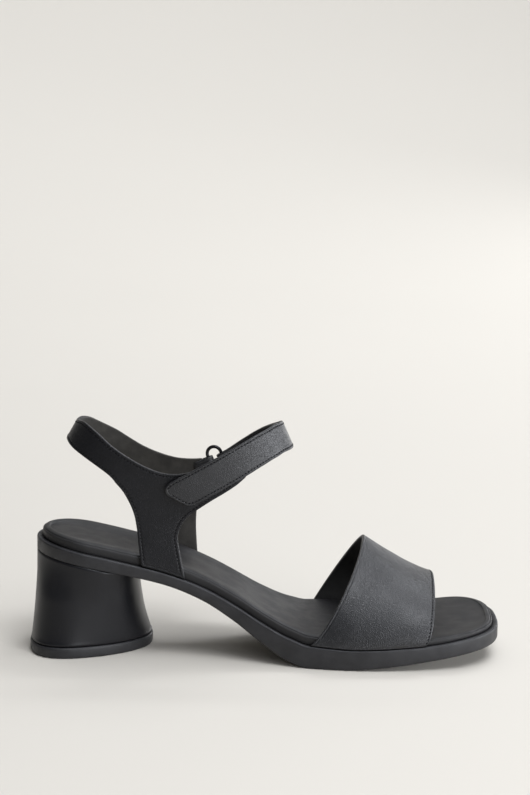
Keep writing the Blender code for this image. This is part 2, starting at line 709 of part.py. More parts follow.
def make_strap():
    bar = strap_distance(RING_PLACE) - RING_END_RADIUS
    bend_radius = RING_WIRE + FIT_GAP + STRAP_LEATHER / 2
    near = (FIT_GAP + STRAP_LEATHER) / 2

    def nearness(distance):
        return float(smooth_step(1 - (bar - distance) / STRAP_SPREAD))

    def half_gap(distance):
        return near + (bend_radius - near) * nearness(distance)

    def width(distance):
        return STRAP_WIDTH + (STRAP_BEND_WIDTH - STRAP_WIDTH) * nearness(distance)

    tab = [dict(zip(TAB_COLUMNS, np.array(row) * STRAP_WIDTH)) for row in TAB_SECTIONS]
    tab_end = strap_distance(TAB_END)
    edges = folded_strip(
        bar, strap_distance(LAP_START), tab_end + tab[0]["reach"], layers_middle, half_gap, bend_radius, width
    )
    for section in tab[1:]:
        distance = tab_end + section["reach"]
        point, _, across, outward = strap_frame(distance)
        centre = point + outward * (layers_middle(distance) + half_gap(distance))
        edges.append((centre + across * section["low"], centre + across * section["high"]))
    strip_object("ankle_strap", edges, STRAP_LEATHER)


def make_keeper():
    bar = strap_distance(RING_PLACE) + RING_END_RADIUS
    bend_radius = RING_WIRE + FIT_GAP + KEEPER_LEATHER / 2
    over_arm = LEATHER / 2 + FIT_GAP + KEEPER_LEATHER / 2

    def half_gap(distance):
        return bend_radius + (over_arm - bend_radius) * float(smooth_step((distance - bar) / bend_radius))

    end = bar + KEEPER_LENGTH
    edges = folded_strip(
        bar, end, end, lambda distance: -LEATHER / 2, half_gap, bend_radius, lambda distance: KEEPER_WIDTH
    )
    strip_object("ring_keeper", edges, KEEPER_LEATHER)


def make_ring():
    """An oblong wire ring: a closed curve with two round ends."""
    point, along, across, outward = strap_frame(strap_distance(RING_PLACE))
    centre = point - outward * (LEATHER / 2)
    curve = bpy.data.curves.new("strap_ring", "CURVE")
    curve.dimensions = "3D"
    curve.bevel_depth = RING_WIRE
    curve.bevel_resolution = 2
    spline = curve.splines.new("POLY")
    spline.use_cyclic_u = True
    spline.points.add(2 * RING_END_STEPS + 1)
    angles = np.linspace(0, math.pi, RING_END_STEPS + 1)
    for side in (1, -1):
        for i, angle in enumerate(angles):
            reach = along * math.cos(angle) + across * math.sin(angle)
            place = centre + (across * (RING_STRAIGHT / 2) + reach * RING_END_RADIUS) * side
            spline.points[i + (0 if side > 0 else RING_END_STEPS + 1)].co = (*place, 1)
    add_object("strap_ring", curve, BLACK_METAL)


for old in list(bpy.data.objects):
    bpy.data.objects.remove(old, do_unlink=True)
SANDAL = bpy.data.collections.new("block_heel_sandal")
bpy.context.scene.collection.children.link(SANDAL)

make_outsole()
make_footbed()
make_heel()
make_top_lift()
make_vamp()
make_quarter()
make_strap()
make_ring()
make_keeper()
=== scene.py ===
"""Looks of the black block heel sandal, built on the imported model's frame.

The form functions and nearly all their values repeat part.py's, at a finer step, so every piece lies within
4 mm of its node. The toe points to +X, the outer (lateral) side to -Y, and the sandal stands on z = 0. All
lengths are in metres.
"""

import math

import bmesh
import bpy
import numpy as np
from mathutils import Matrix, Vector, geometry


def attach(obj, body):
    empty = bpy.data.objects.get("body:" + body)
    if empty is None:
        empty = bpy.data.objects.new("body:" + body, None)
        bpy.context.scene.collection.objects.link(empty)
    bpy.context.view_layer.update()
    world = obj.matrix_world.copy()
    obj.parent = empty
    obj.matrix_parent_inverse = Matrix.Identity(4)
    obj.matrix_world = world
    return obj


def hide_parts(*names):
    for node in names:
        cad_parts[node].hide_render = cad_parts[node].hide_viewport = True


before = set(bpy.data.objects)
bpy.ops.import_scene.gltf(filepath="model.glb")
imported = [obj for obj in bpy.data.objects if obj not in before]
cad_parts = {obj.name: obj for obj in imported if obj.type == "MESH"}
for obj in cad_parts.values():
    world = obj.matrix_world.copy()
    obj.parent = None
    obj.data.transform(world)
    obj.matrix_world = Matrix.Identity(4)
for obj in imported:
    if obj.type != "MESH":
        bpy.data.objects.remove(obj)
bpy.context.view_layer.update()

# Sole
SOLE_LENGTH = 0.241
BALL_WIDTH = 0.0875
HEEL_SETBACK = 0.0288
SEAT_HEIGHT = 0.0522
TOE_SPRING = 0.0096
SOLE_THICKNESS = 0.0107
SEAT_RADIUS = 0.0292
TOE_ROUNDING = 0.036
TOE_SQUARENESS = 2.9
RIM_WIDTH = 0.0027
RIM_DEPTH = 0.0018
TREAD_EDGE = 0.0014
FIT_GAP = 0.0003

# Footbed
FOOTBED_RISE = 0.0056
FOOTBED_SHOULDER = 0.0036
FOOTBED_DISH = 0.0016

# Heel
LIFT_HEIGHT = 0.0058
LIFT_OVERHANG = 0.0005
TREAD_LENGTH = 0.0622
TREAD_WIDTH = 0.0570
HEEL_TOP_LENGTH = 0.0518
HEEL_TOP_INSET = 0.0007

# Vamp band and the leather of all the upper
LEATHER = 0.0020
STRAP_SEAT_INSET = 0.0003
STRAP_SEAT_GAP = 0.0006
VAMP_PLACE = 0.5905
VAMP_LENGTH = 0.0613
VAMP_HEIGHT = 0.0475
VAMP_WIDTH = 0.0920

# Ankle form that the quarter and the strap are wrapped on. It is the quarter's outer face.
COLLAR_HEIGHT = 0.1200
ANKLE_LENGTH = 0.1032
ANKLE_BACK = -0.0082
ANKLE_HALF_WIDTH = 0.0274
ANKLE_SQUARENESS = 2.25
BACK_LEAN = 0.55
FRONT_LEAN = 0.46
LEAN_DEPTH = 0.0288
LEG_BLEND = 0.0240

# Ankle strap, its ring and the ring's leather keeper
STRAP_WIDTH = 0.0142
STRAP_LEATHER = 0.0016
STRAP_BEND_WIDTH = 0.0126
STRAP_SPREAD = 0.0130
STRAP_STEP = 0.0050
RING_WIRE = 0.0009
RING_END_RADIUS = 0.0037
RING_STRAIGHT = 0.0132
KEEPER_LEATHER = 0.0013
KEEPER_WIDTH = 0.0104
KEEPER_LENGTH = 0.0090

# Places along the ankle strap, as shares of the way round the ankle from its front, lateral being negative
TAB_END = -0.505
LAP_START = -0.335
LAYERS_SHIFT_START = -0.200
RING_PLACE = 0.359

# Sole sections. station is a share of SOLE_LENGTH from the back; lateral and medial are half widths as
# shares of BALL_WIDTH; rise and spring are the underside's height as shares of SEAT_HEIGHT and TOE_SPRING;
# thickness is the side wall's height as a share of SOLE_THICKNESS.
SOLE_COLUMNS = ("station", "lateral", "medial", "rise", "spring", "thickness")
SOLE_SECTIONS = (
    (0.00, 0.334, 0.330, 1.000, 0.00, 0.64),
    (0.07, 0.334, 0.330, 0.952, 0.00, 0.63),
    (0.14, 0.334, 0.329, 0.893, 0.00, 0.61),
    (0.21, 0.332, 0.322, 0.828, 0.00, 0.58),
    (0.29, 0.331, 0.308, 0.735, 0.00, 0.58),
    (0.36, 0.337, 0.288, 0.604, 0.00, 0.64),
    (0.43, 0.363, 0.284, 0.408, 0.00, 0.80),
    (0.49, 0.402, 0.316, 0.206, 0.00, 1.00),
    (0.55, 0.447, 0.378, 0.042, 0.00, 1.16),
    (0.59, 0.476, 0.433, 0.000, 0.00, 1.09),
    (0.66, 0.505, 0.478, 0.000, 0.00, 1.00),
    (0.72, 0.514, 0.487, 0.000, 0.10, 0.93),
    (0.79, 0.505, 0.485, 0.000, 0.31, 0.84),
    (0.87, 0.472, 0.474, 0.000, 0.60, 0.74),
    (0.94, 0.428, 0.480, 0.000, 0.84, 0.74),
    (1.00, 0.385, 0.460, 0.000, 1.00, 0.76),
)

# Footbed sections. rise is its edge's height over the rim as a share of FOOTBED_RISE; dish is its hollow's
# depth as a share of FOOTBED_DISH.
FOOTBED_COLUMNS = ("station", "rise", "dish")
FOOTBED_SECTIONS = (
    (0.00, 1.00, 0.80),
    (0.10, 1.00, 1.00),
    (0.30, 1.00, 0.70),
    (0.50, 1.00, 0.34),
    (0.62, 0.95, 0.30),
    (0.74, 0.66, 0.28),
    (0.88, 0.50, 0.26),
    (1.00, 0.44, 0.25),
)

# Heel sections. height is a share of the block from tread to seat; seat says how far the section has turned
# from the tread's size to the seat's; the other columns shape its outline.
HEEL_COLUMNS = ("height", "seat", "squareness", "taper", "twist")
HEEL_SECTIONS = (
    (0.00, 0.00, 2.30, 0.25, 0.15),
    (0.12, 0.18, 2.32, 0.21, 0.12),
    (0.35, 0.50, 2.38, 0.14, 0.08),
    (0.62, 0.74, 2.45, 0.07, 0.04),
    (1.00, 1.00, 2.60, 0.00, 0.00),
)

# Vamp sections from the rear edge to the front edge. way, lateral, crown and medial are shares of
# VAMP_LENGTH: where the section is, and where its line meets the sole on each side and the crown. rise is the
# crown's height as a share of VAMP_HEIGHT, ridge its side shift as a share of VAMP_WIDTH. The squareness
# and lean columns shape each side's arch.
VAMP_COLUMNS = (
    "way", "lateral", "crown", "medial", "rise", "ridge",
    "lateral_squareness", "medial_squareness", "lateral_lean", "medial_lean",
)
VAMP_SECTIONS = (
    (0.00, 0.000, 0.455, 0.020, 1.012, 0.050, 1.80, 1.68, 0.78, 1.00),
    (0.14, 0.133, 0.541, 0.155, 0.942, 0.045, 1.82, 1.70, 0.74, 1.00),
    (0.29, 0.274, 0.633, 0.300, 0.868, 0.040, 1.84, 1.72, 0.68, 1.00),
    (0.43, 0.406, 0.718, 0.434, 0.806, 0.035, 1.86, 1.74, 0.60, 1.00),
    (0.57, 0.538, 0.800, 0.568, 0.748, 0.025, 1.88, 1.76, 0.54, 1.00),
    (0.71, 0.670, 0.885, 0.702, 0.696, 0.015, 1.88, 1.78, 0.45, 1.00),
    (0.86, 0.811, 0.974, 0.846, 0.648, 0.005, 1.88, 1.80, 0.40, 1.00),
    (1.00, 0.943, 1.058, 0.980, 0.610, 0.000, 1.88, 1.82, 0.36, 1.00),
)

# Edges of the quarter. Each row is a turn, the share of the way round the ankle from its back to its front,
# and a height as a share of the way up from the sole's rim to the collar.
LATERAL_TOP = (
    (0.000, 0.992), (0.059, 1.008), (0.114, 1.002), (0.195, 0.939), (0.294, 0.828), (0.374, 0.751),
    (0.429, 0.709), (0.473, 0.690), (0.520, 0.697), (0.565, 0.728), (0.625, 0.788), (0.683, 0.835),
)
LATERAL_ARM = ((0.683, 0.835), (0.737, 0.735))
LATERAL_FRONT = (
    (0.737, 0.735), (0.676, 0.640), (0.620, 0.552), (0.570, 0.462), (0.544, 0.404), (0.527, 0.334),
    (0.520, 0.258), (0.528, 0.156), (0.544, 0.000),
)
LATERAL_REAR = (
    (0.408, 0.000), (0.400, 0.143), (0.392, 0.284), (0.380, 0.392), (0.356, 0.498), (0.331, 0.566),
    (0.296, 0.629), (0.230, 0.698), (0.153, 0.763), (0.060, 0.824), (0.000, 0.833),
)
MEDIAL_TOP = (
    (0.000, 0.992), (0.059, 0.998), (0.114, 0.979), (0.164, 0.942), (0.262, 0.856), (0.318, 0.796),
    (0.381, 0.730), (0.439, 0.687), (0.491, 0.665), (0.530, 0.665), (0.560, 0.673), (0.583, 0.683),
)
MEDIAL_ARM = ((0.583, 0.683), (0.628, 0.572))
MEDIAL_FRONT = (
    (0.628, 0.572), (0.608, 0.526), (0.588, 0.470), (0.573, 0.398), (0.567, 0.306), (0.566, 0.216),
    (0.569, 0.111), (0.574, 0.000),
)
MEDIAL_REAR = (
    (0.443, 0.000), (0.434, 0.142), (0.425, 0.270), (0.408, 0.391), (0.380, 0.494), (0.350, 0.565),
    (0.307, 0.631), (0.238, 0.699), (0.153, 0.763), (0.060, 0.824), (0.000, 0.833),
)

# The ankle strap's middle line, from the tab on the lateral side to the ring and on over the medial arm. way
# is the share of the way round the ankle from its front, lateral being negative; up is as in the edges.
STRAP_COLUMNS = ("way", "up")
STRAP_LINE = (
    (-0.540, 0.481), (-0.495, 0.550), (-0.444, 0.626), (-0.404, 0.684), (-0.341, 0.763), (-0.282, 0.826),
    (-0.219, 0.880), (-0.156, 0.917), (-0.085, 0.938), (0.000, 0.933), (0.091, 0.907), (0.146, 0.880),
    (0.195, 0.843), (0.235, 0.803), (0.280, 0.750), (0.359, 0.653), (0.410, 0.589), (0.480, 0.506),
)

# The strap's tab. reach is the distance from its end; low and high are its two edges measured from the
# strap's middle line; all are shares of STRAP_WIDTH.
TAB_SECTIONS = (
    (0.400, -0.500, 0.500),
    (0.264, -0.430, 0.486),
    (0.162, -0.250, 0.458),
    (0.106, -0.134, 0.430),
    (0.042, 0.040, 0.373),
    (0.000, 0.100, 0.240),
)


def column(table, names, name):
    """One column of a table as an array."""
    return np.array([row[names.index(name)] for row in table], float)


def smooth_curve(xs, ys):
    """A smooth function through the points that never overshoots them (monotone cubic)."""
    steps = np.diff(xs)
    slopes = np.diff(ys) / steps
    tangents = np.zeros(len(xs))
    for i in range(1, len(xs) - 1):
        if slopes[i - 1] * slopes[i] > 0:
            before = 2 * steps[i] + steps[i - 1]
            after = steps[i] + 2 * steps[i - 1]
            tangents[i] = (before + after) / (before / slopes[i - 1] + after / slopes[i])
    tangents[0] = slopes[0]
    tangents[-1] = slopes[-1]

    def value(x):
        i = np.clip(np.searchsorted(xs, x) - 1, 0, len(xs) - 2)
        t = (x - xs[i]) / steps[i]
        rise = (3 - 2 * t) * t * t
        bend = t * (1 - t) * (tangents[i] * (1 - t) - tangents[i + 1] * t)
        return ys[i] * (1 - rise) + ys[i + 1] * rise + steps[i] * bend

    return value


def smooth_step(t):
    t = np.clip(t, 0.0, 1.0)
    return t * t * (3 - 2 * t)


def signed_power(value, power):
    return np.sign(value) * np.abs(value) ** power


def running_length(points):
    """The distance along a polyline at each of its points."""
    return np.concatenate([[0], np.cumsum(np.linalg.norm(np.diff(points, axis=0), axis=1))])


def even_steps(points, count):
    """Points spaced evenly along a dense polyline."""
    lengths = running_length(points)
    wanted = np.linspace(0, lengths[-1], count)
    return np.column_stack([np.interp(wanted, lengths, points[:, k]) for k in range(points.shape[1])])


def table_curve(table, names, name, size=1.0):
    """A smooth function for one column of a table, over its first column."""
    return smooth_curve(column(table, names, names[0]), column(table, names, name) * size)


# Sole form
LATERAL = table_curve(SOLE_SECTIONS, SOLE_COLUMNS, "lateral", BALL_WIDTH)
MEDIAL = table_curve(SOLE_SECTIONS, SOLE_COLUMNS, "medial", BALL_WIDTH)
THICKNESS = table_curve(SOLE_SECTIONS, SOLE_COLUMNS, "thickness", SOLE_THICKNESS)
UNDERSIDE = smooth_curve(
    column(SOLE_SECTIONS, SOLE_COLUMNS, "station"),
    column(SOLE_SECTIONS, SOLE_COLUMNS, "rise") * SEAT_HEIGHT
    + column(SOLE_SECTIONS, SOLE_COLUMNS, "spring") * TOE_SPRING,
)


def station(x):
    return np.clip((x + HEEL_SETBACK) / SOLE_LENGTH, 0.0, 1.0)


def underside(x):
    return UNDERSIDE(station(x))


def rim(x):
    return underside(x) + THICKNESS(station(x))


def deck(x):
    """The sole's floor inside its rim, which the footbed stands on."""
    return rim(x) - RIM_DEPTH


def side_y(x, side):
    """The sole's outline at x: side is -1 for lateral and 1 for medial."""
    s = station(x)
    back = np.clip(1 - s * SOLE_LENGTH / SEAT_RADIUS, 0, 1)
    front = np.clip(1 - (1 - s) * SOLE_LENGTH / TOE_ROUNDING, 0, 1)
    closing = np.sqrt(1 - back**2) * (1 - front**TOE_SQUARENESS) ** (1 / TOE_SQUARENESS)
    half = np.where(np.less(side, 0), LATERAL(s), MEDIAL(s))
    return side * half * closing


# How finely the pieces are divided
SOLE_STATIONS = 150
SOLE_CELLS = 20
HEEL_POINTS = 144
HEEL_ROWS = 30
FINE_STEPS = 800
VAMP_WAYS = 61
VAMP_ACROSS = 220
VAMP_ROWS = 34
OUTLINE_STEP = 0.0009
PATTERN_CELL = 0.0016
PATH_STEP = 0.0005
BEND_STEPS = 24
END_STEP = 0.0003
FOOT_POINTS = 12
KEEPER_CELL = 0.0010
SPLINE_STEPS = 40
RING_TURN_STEPS = 25
RING_SIDES = 20
THREAD_SIDES = 7
THREAD_STEPS = 6

# How flat patterns are divided: the grid's row spacing and its clearance of the edge rows, as shares of its
# cell, and the share of its offset that a row's point keeps from every edge
GRID_ROW = 0.866
GRID_CLEARANCE = 0.45
ROW_KEEP = 0.97

# Half the distance over which the ankle form's normals are taken, and the strap's, as a share of the height
NORMAL_STEP = 0.0006
UP_STEP = 0.02

# Leather edges: a rolled bead along every cut edge with a groove behind it, which the stitches lie in
GROOVE_PLACE = 0.00134
EDGE_OFFSETS = (
    0.00006, 0.00015, 0.0003, 0.0005, 0.00075, 0.0010, 0.00118, GROOVE_PLACE,
    0.0015, 0.0017, 0.0020, 0.0024, 0.0030,
)
GROOVE_HALF_WIDTH = 0.00026
GROOVE_DEPTH = 0.00016
EDGE_RADIUS = 0.00055
FOOT_RADIUS = 0.0004
EDGE_PROBE = 0.0004
PARTING_DEPTH = 0.00012
STITCH_PITCH = 0.0018
STITCH_LENGTH = 0.00118
THREAD_RADIUS = 0.00027
STITCH_RIM_GAP = 0.0022
STITCH_BEND_GAP = 0.004
SHORTEST_RUN = 8

# Rows across a cut edge: the share of the way from face to lining, and the shift inwards as a share of
# PARTING_DEPTH. The middle row is the fine line where the two layers meet.
WALL_SECTIONS = ((0.28, -0.4), (0.42, -0.2), (0.5, 1.0), (0.58, -0.2), (0.72, -0.4))


def sole_outline():
    """The sole's outline as a closed loop, from the back along the lateral side, round the toe and back."""
    angles = np.linspace(0, math.pi, SOLE_STATIONS + 1)
    x = SOLE_LENGTH * (1 - np.cos(angles)) / 2 - HEEL_SETBACK
    lateral = np.stack([x, side_y(x, -1)], 1)
    medial = np.stack([x, side_y(x, 1)], 1)
    return np.concatenate([lateral, medial[-2:0:-1]])


def inset_loop(loop, distance):
    """A closed loop moved inwards along its own normals."""
    tangent = np.roll(loop, -1, 0) - np.roll(loop, 1, 0)
    normal = np.stack([-tangent[:, 1], tangent[:, 0]], 1)
    normal /= np.linalg.norm(normal, axis=1)[:, None]
    return loop + normal * distance


def raised(loop, height):
    """A flat loop as points in space, height being a number or a function of x."""
    z = height(loop[:, 0]) if callable(height) else np.full(len(loop), height)
    return np.column_stack([loop, z])


def unit(vectors):
    return vectors / np.maximum(np.linalg.norm(vectors, axis=-1, keepdims=True), 1e-12)


# Objects
def add_piece(name, verts, faces, materials, replaced=(), face_materials=None, edge=None):
    """A piece of the sandal that rides on its one body."""
    mesh = bpy.data.meshes.new(name)
    mesh.from_pydata([tuple(map(float, v)) for v in verts], [], [tuple(map(int, f)) for f in faces])
    mesh.validate()
    for material in materials:
        mesh.materials.append(material)
    if face_materials is not None:
        mesh.polygons.foreach_set("material_index", np.array(face_materials, np.int32))
    if edge is not None:
        mesh.attributes.new("edge", "FLOAT", "POINT").data.foreach_set("value", np.array(edge, np.float32))
    bm = bmesh.new()
    bm.from_mesh(mesh)
    bmesh.ops.recalc_face_normals(bm, faces=bm.faces)
    bm.to_mesh(mesh)
    bm.free()
    mesh.shade_smooth()
    obj = bpy.data.objects.new(name, mesh)
    bpy.context.scene.collection.objects.link(obj)
    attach(obj, "root")
    if replaced:
        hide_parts(*replaced)
    return obj


def ring_faces(first, second, count):
    """Quads between two closed rings of points that start at those numbers."""
    return [(first + i, first + (i + 1) % count, second + (i + 1) % count, second + i) for i in range(count)]


def row_fill(verts, faces, ring, height, cells):
    """Fills a ring that runs lateral then medial with rows across it, at height(x, y)."""
    half = len(ring) // 2
    rows = []
    for i in range(1, half):
        a, b = np.array(verts[ring[i]]), np.array(verts[ring[-i]])
        row = [ring[i]]
        for k in range(1, cells):
            x, y, _ = a + (b - a) * (1 - math.cos(math.pi * k / cells)) / 2
            row.append(len(verts))
            verts.append((x, y, float(height(x, y))))
        rows.append(row + [ring[-i]])
    for k in range(cells):
        faces.append((ring[0], rows[0][k], rows[0][k + 1]))
        faces.append((ring[half], rows[-1][k + 1], rows[-1][k]))
    for lower, upper in zip(rows, rows[1:]):
        for k in range(cells):
            faces.append((lower[k], lower[k + 1], upper[k + 1], upper[k]))


def stacked(rings, bottom, top, cells):
    """Points and faces through stacked rings, closed below and above at bottom(x, y) and top(x, y)."""
    verts, faces = [], []
    count = len(rings[0])
    for ring in rings:
        verts.extend(tuple(p) for p in ring)
    for k in range(len(rings) - 1):
        faces.extend(ring_faces(k * count, (k + 1) * count, count))
    row_fill(verts, faces, list(range(count)), bottom, cells)
    last = (len(rings) - 1) * count
    row_fill(verts, faces, list(range(last, last + count)), top, cells)
    return verts, faces


# Ankle form
def ankle_plan(angle):
    """The ankle form's plan with half sizes of 1, angle being 0 at its back and pi at its front."""
    power = 2 / ANKLE_SQUARENESS
    return -signed_power(np.cos(angle), power), np.abs(np.sin(angle)) ** power


ANGLES = np.linspace(0, math.pi, FINE_STEPS)
GIRTH = running_length(np.column_stack(ankle_plan(ANGLES)) * (ANKLE_LENGTH / 2, ANKLE_HALF_WIDTH))
HALF_GIRTH = GIRTH[-1]


def ankle_points(turn, height):
    """Points on the ankle form. turn is 0 at the back and 1 at the front, negative by the lateral side."""
    side = np.where(turn < 0, -1.0, 1.0)
    along, across = ankle_plan(np.interp(np.abs(turn) * HALF_GIRTH, GIRTH, ANGLES))
    below = np.maximum(height - COLLAR_HEIGHT, -LEAN_DEPTH)
    half = (ANKLE_LENGTH - (FRONT_LEAN + BACK_LEAN) * below) / 2
    x = ANKLE_BACK + BACK_LEAN * below + half * (1 + along)
    y = side * ANKLE_HALF_WIDTH * across
    blend = 1 - smooth_step((height - rim(x)) / LEG_BLEND)
    y = y + blend * (side_y(x, side) - side * STRAP_SEAT_INSET - y)
    return np.stack([x, y, height + 0 * x], -1)


def edge_height(turn, up):
    """The height at a share of the way up from the sole's rim to the collar."""
    foot = rim(ankle_points(turn, 0.0 * turn)[..., 0]) + STRAP_SEAT_GAP
    return foot + up * (COLLAR_HEIGHT - foot)


def smooth_line(points, step=OUTLINE_STEP):
    """A smooth line through points (Catmull-Rom), with its own points about step apart."""
    controls = np.vstack([2 * points[0] - points[1], points, 2 * points[-1] - points[-2]])
    t = np.linspace(0, 1, SPLINE_STEPS, endpoint=False)[:, None]
    dense = []
    for p0, p1, p2, p3 in zip(controls, controls[1:], controls[2:], controls[3:]):
        bend = (2 * p0 - 5 * p1 + 4 * p2 - p3) * t**2 + (3 * p1 - p0 - 3 * p2 + p3) * t**3
        dense.append((2 * p1 + (p2 - p0) * t + bend) / 2)
    dense = np.vstack(dense + [points[-1]])
    return even_steps(dense, max(2, round(running_length(dense)[-1] / step) + 1))


def pattern_edge(rows, side):
    """An edge of the quarter in its flat pattern: distance round the ankle and height."""
    turn, up = np.array(rows).T
    return smooth_line(np.column_stack([side * turn * HALF_GIRTH, edge_height(side * turn, up)]))


def side_edges(top, arm, front, rear, side):
    """One side's edges in the flat pattern: top, arm's end, front, the leg's foot and rear."""
    foot = [(turn, 0.0) for turn in np.linspace(front[-1][0], rear[0][0], FOOT_POINTS)]
    return [pattern_edge(rows, side) for rows in (top, arm, front, foot, rear)]


def quarter_outline():
    """The quarter's flat pattern as one closed loop of points."""
    lateral = side_edges(LATERAL_TOP, LATERAL_ARM, LATERAL_FRONT, LATERAL_REAR, -1)
    medial = side_edges(MEDIAL_TOP, MEDIAL_ARM, MEDIAL_FRONT, MEDIAL_REAR, 1)
    lines = lateral + [line[::-1] for line in reversed(medial)]
    return np.concatenate([line[:-1] for line in lines])


def quarter_place(flat):
    """The quarter's outer face and its outward normals at points of the flat pattern."""
    def face(u, v):
        return ankle_points(u / HALF_GIRTH, v)

    u, v = flat.T
    round_it = face(u + NORMAL_STEP, v) - face(u - NORMAL_STEP, v)
    up_it = face(u, v + NORMAL_STEP) - face(u, v - NORMAL_STEP)
    return face(u, v), unit(np.cross(up_it, round_it))


# Flat patterns
def loop_distance(points, loop):
    """The distance from each point to a closed loop, and whether the point is inside it."""
    ends = np.roll(loop, -1, 0)
    along = ends - loop
    squares = (along**2).sum(1)
    distances, insides = [], []
    for part in np.array_split(points, max(1, len(points) // 500)):
        offset = part[:, None] - loop[None]
        share = np.clip((offset * along).sum(2) / squares, 0, 1)
        distances.append(np.linalg.norm(offset - along * share[..., None], axis=2).min(1))
        crosses = (loop[:, 1] > part[:, None, 1]) != (ends[:, 1] > part[:, None, 1])
        rise = np.where(along[:, 1] == 0, 1e-12, along[:, 1])
        at = along[:, 0] * (part[:, None, 1] - loop[:, 1]) / rise + loop[:, 0]
        insides.append((crosses & (part[:, None, 0] < at)).sum(1) % 2 == 1)
    return np.concatenate(distances), np.concatenate(insides)


def anticlockwise(loop):
    x, y = loop.T
    area = (x * np.roll(y, -1) - np.roll(x, -1) * y).sum()
    return loop if area > 0 else loop[::-1]


def kept_row(loop, offset):
    """A row inside a loop, and which of its points lie clear of every stretch of the loop."""
    row = inset_loop(loop, offset)
    distance, inside = loop_distance(row, loop)
    return row, inside & (distance > offset * ROW_KEEP)


def pattern_mesh(loop, cell):
    """Points of a flat pattern, first its outline, then rows along it, then its middle; and its triangles."""
    chosen = [loop]
    for offset in EDGE_OFFSETS:
        row, kept = kept_row(loop, offset)
        chosen.append(row[kept])
    low, high = loop.min(0), loop.max(0)
    grid = []
    for j, y in enumerate(np.arange(low[1], high[1], cell * GRID_ROW)):
        x = np.arange(low[0] + (j % 2) * cell / 2, high[0], cell)
        grid.append(np.column_stack([x, np.full(len(x), y)]))
    grid = np.concatenate(grid)
    distance, inside = loop_distance(grid, loop)
    chosen.append(grid[inside & (distance > EDGE_OFFSETS[-1] + cell * GRID_CLEARANCE)])
    points = np.concatenate(chosen)
    border = [list(range(len(loop)))]
    made = geometry.delaunay_2d_cdt([Vector(p) for p in points], [], border, 1, 1e-8)
    return np.array([tuple(p) for p in made[0]]), [tuple(t) for t in made[2]]


def rounding(distance, radius=EDGE_RADIUS):
    """How far a face drops towards a rounded edge."""
    near = np.clip(radius - distance, 0, radius)
    return radius - np.sqrt(radius**2 - near**2)


def edge_profile(distance):
    """How far the outer face lies under the plain surface: its rounded edge and the groove behind it."""
    groove = np.exp(-(((distance - GROOVE_PLACE) / GROOVE_HALF_WIDTH) ** 2))
    return rounding(distance) + GROOVE_DEPTH * groove


def add_walls(verts, faces, kinds, outer, inner, inward, first, last):
    """The cut edge between two borders of a leather piece, whose points are outer and inner."""
    rows = [list(first)]
    for share, shift in WALL_SECTIONS:
        rows.append(list(range(len(verts), len(verts) + len(outer))))
        verts.extend(outer + (inner - outer) * share + inward * PARTING_DEPTH * shift)
    rows.append(list(last))
    for upper, lower in zip(rows, rows[1:]):
        for i in range(len(upper)):
            j = (i + 1) % len(upper)
            faces.append((upper[i], lower[i], lower[j], upper[j]))
            kinds.append(1)


def pattern_shell(name, node, loop, place, thickness, face_material, cell=PATTERN_CELL):
    """A leather piece with walls from its flat pattern, lined like the quarter."""
    loop = anticlockwise(loop)
    flat, triangles = pattern_mesh(loop, cell)
    distance, _ = loop_distance(flat, loop)
    face, normal = place(flat)
    outer = face - normal * edge_profile(distance)[:, None]
    inner = face - normal * (thickness - rounding(distance))[:, None]
    count = len(flat)
    verts = list(outer) + list(inner)
    faces = list(triangles) + [(c + count, b + count, a + count) for a, b, c in triangles]
    kinds = [0] * len(triangles) + [2] * len(triangles)
    border = len(loop)
    inward = unit(place(inset_loop(loop, EDGE_PROBE))[0] - face[:border])
    ends = range(border), range(count, count + border)
    add_walls(verts, faces, kinds, outer[:border], inner[:border], inward, *ends)
    edge = np.concatenate([distance, distance, np.zeros(len(verts) - 2 * count)])
    materials = [face_material, LEATHER_EDGE, QUARTER_LINING]
    return add_piece(name, verts, faces, materials, [node], kinds, edge)


# Stitches
def stitch_spans(line):
    """Pairs of distances where the stitches of a line start and end."""
    total = running_length(line)[-1]
    count = max(1, int((total - STITCH_LENGTH) / STITCH_PITCH))
    first = (total - count * STITCH_PITCH + STITCH_PITCH - STITCH_LENGTH) / 2
    starts = [first + i * STITCH_PITCH for i in range(count)]
    return [(start, start + STITCH_LENGTH) for start in starts]


def add_stitches(name, lines):
    """Threads that dip into the leather at both ends. Each line is its points and outward normals."""
    verts, faces = [], []
    sides, steps = THREAD_SIDES, THREAD_STEPS
    for points, normals in lines:
        lengths = running_length(points)
        for start, end in stitch_spans(points):
            places = np.linspace(start, end, steps)
            centre = np.column_stack([np.interp(places, lengths, points[:, k]) for k in range(3)])
            outward = unit(np.column_stack([np.interp(places, lengths, normals[:, k]) for k in range(3)]))
            share = np.linspace(-1, 1, steps)
            lift = THREAD_RADIUS * (0.35 - 1.1 * share**4)
            radius = THREAD_RADIUS * (1 - 0.45 * share**6)
            along = unit(np.gradient(centre, axis=0))
            across = np.cross(along, outward)
            base = len(verts)
            for k in range(steps):
                for s in range(sides):
                    turn = 2 * math.pi * s / sides
                    reach = across[k] * math.cos(turn) + outward[k] * math.sin(turn)
                    verts.append(centre[k] + outward[k] * lift[k] + reach * radius[k])
            for k in range(steps - 1):
                faces.extend(ring_faces(base + k * sides, base + (k + 1) * sides, sides))
            faces.append(tuple(base + s for s in range(sides))[::-1])
            faces.append(tuple(base + (steps - 1) * sides + s for s in range(sides)))
    return add_piece(name, verts, faces, [THREAD])


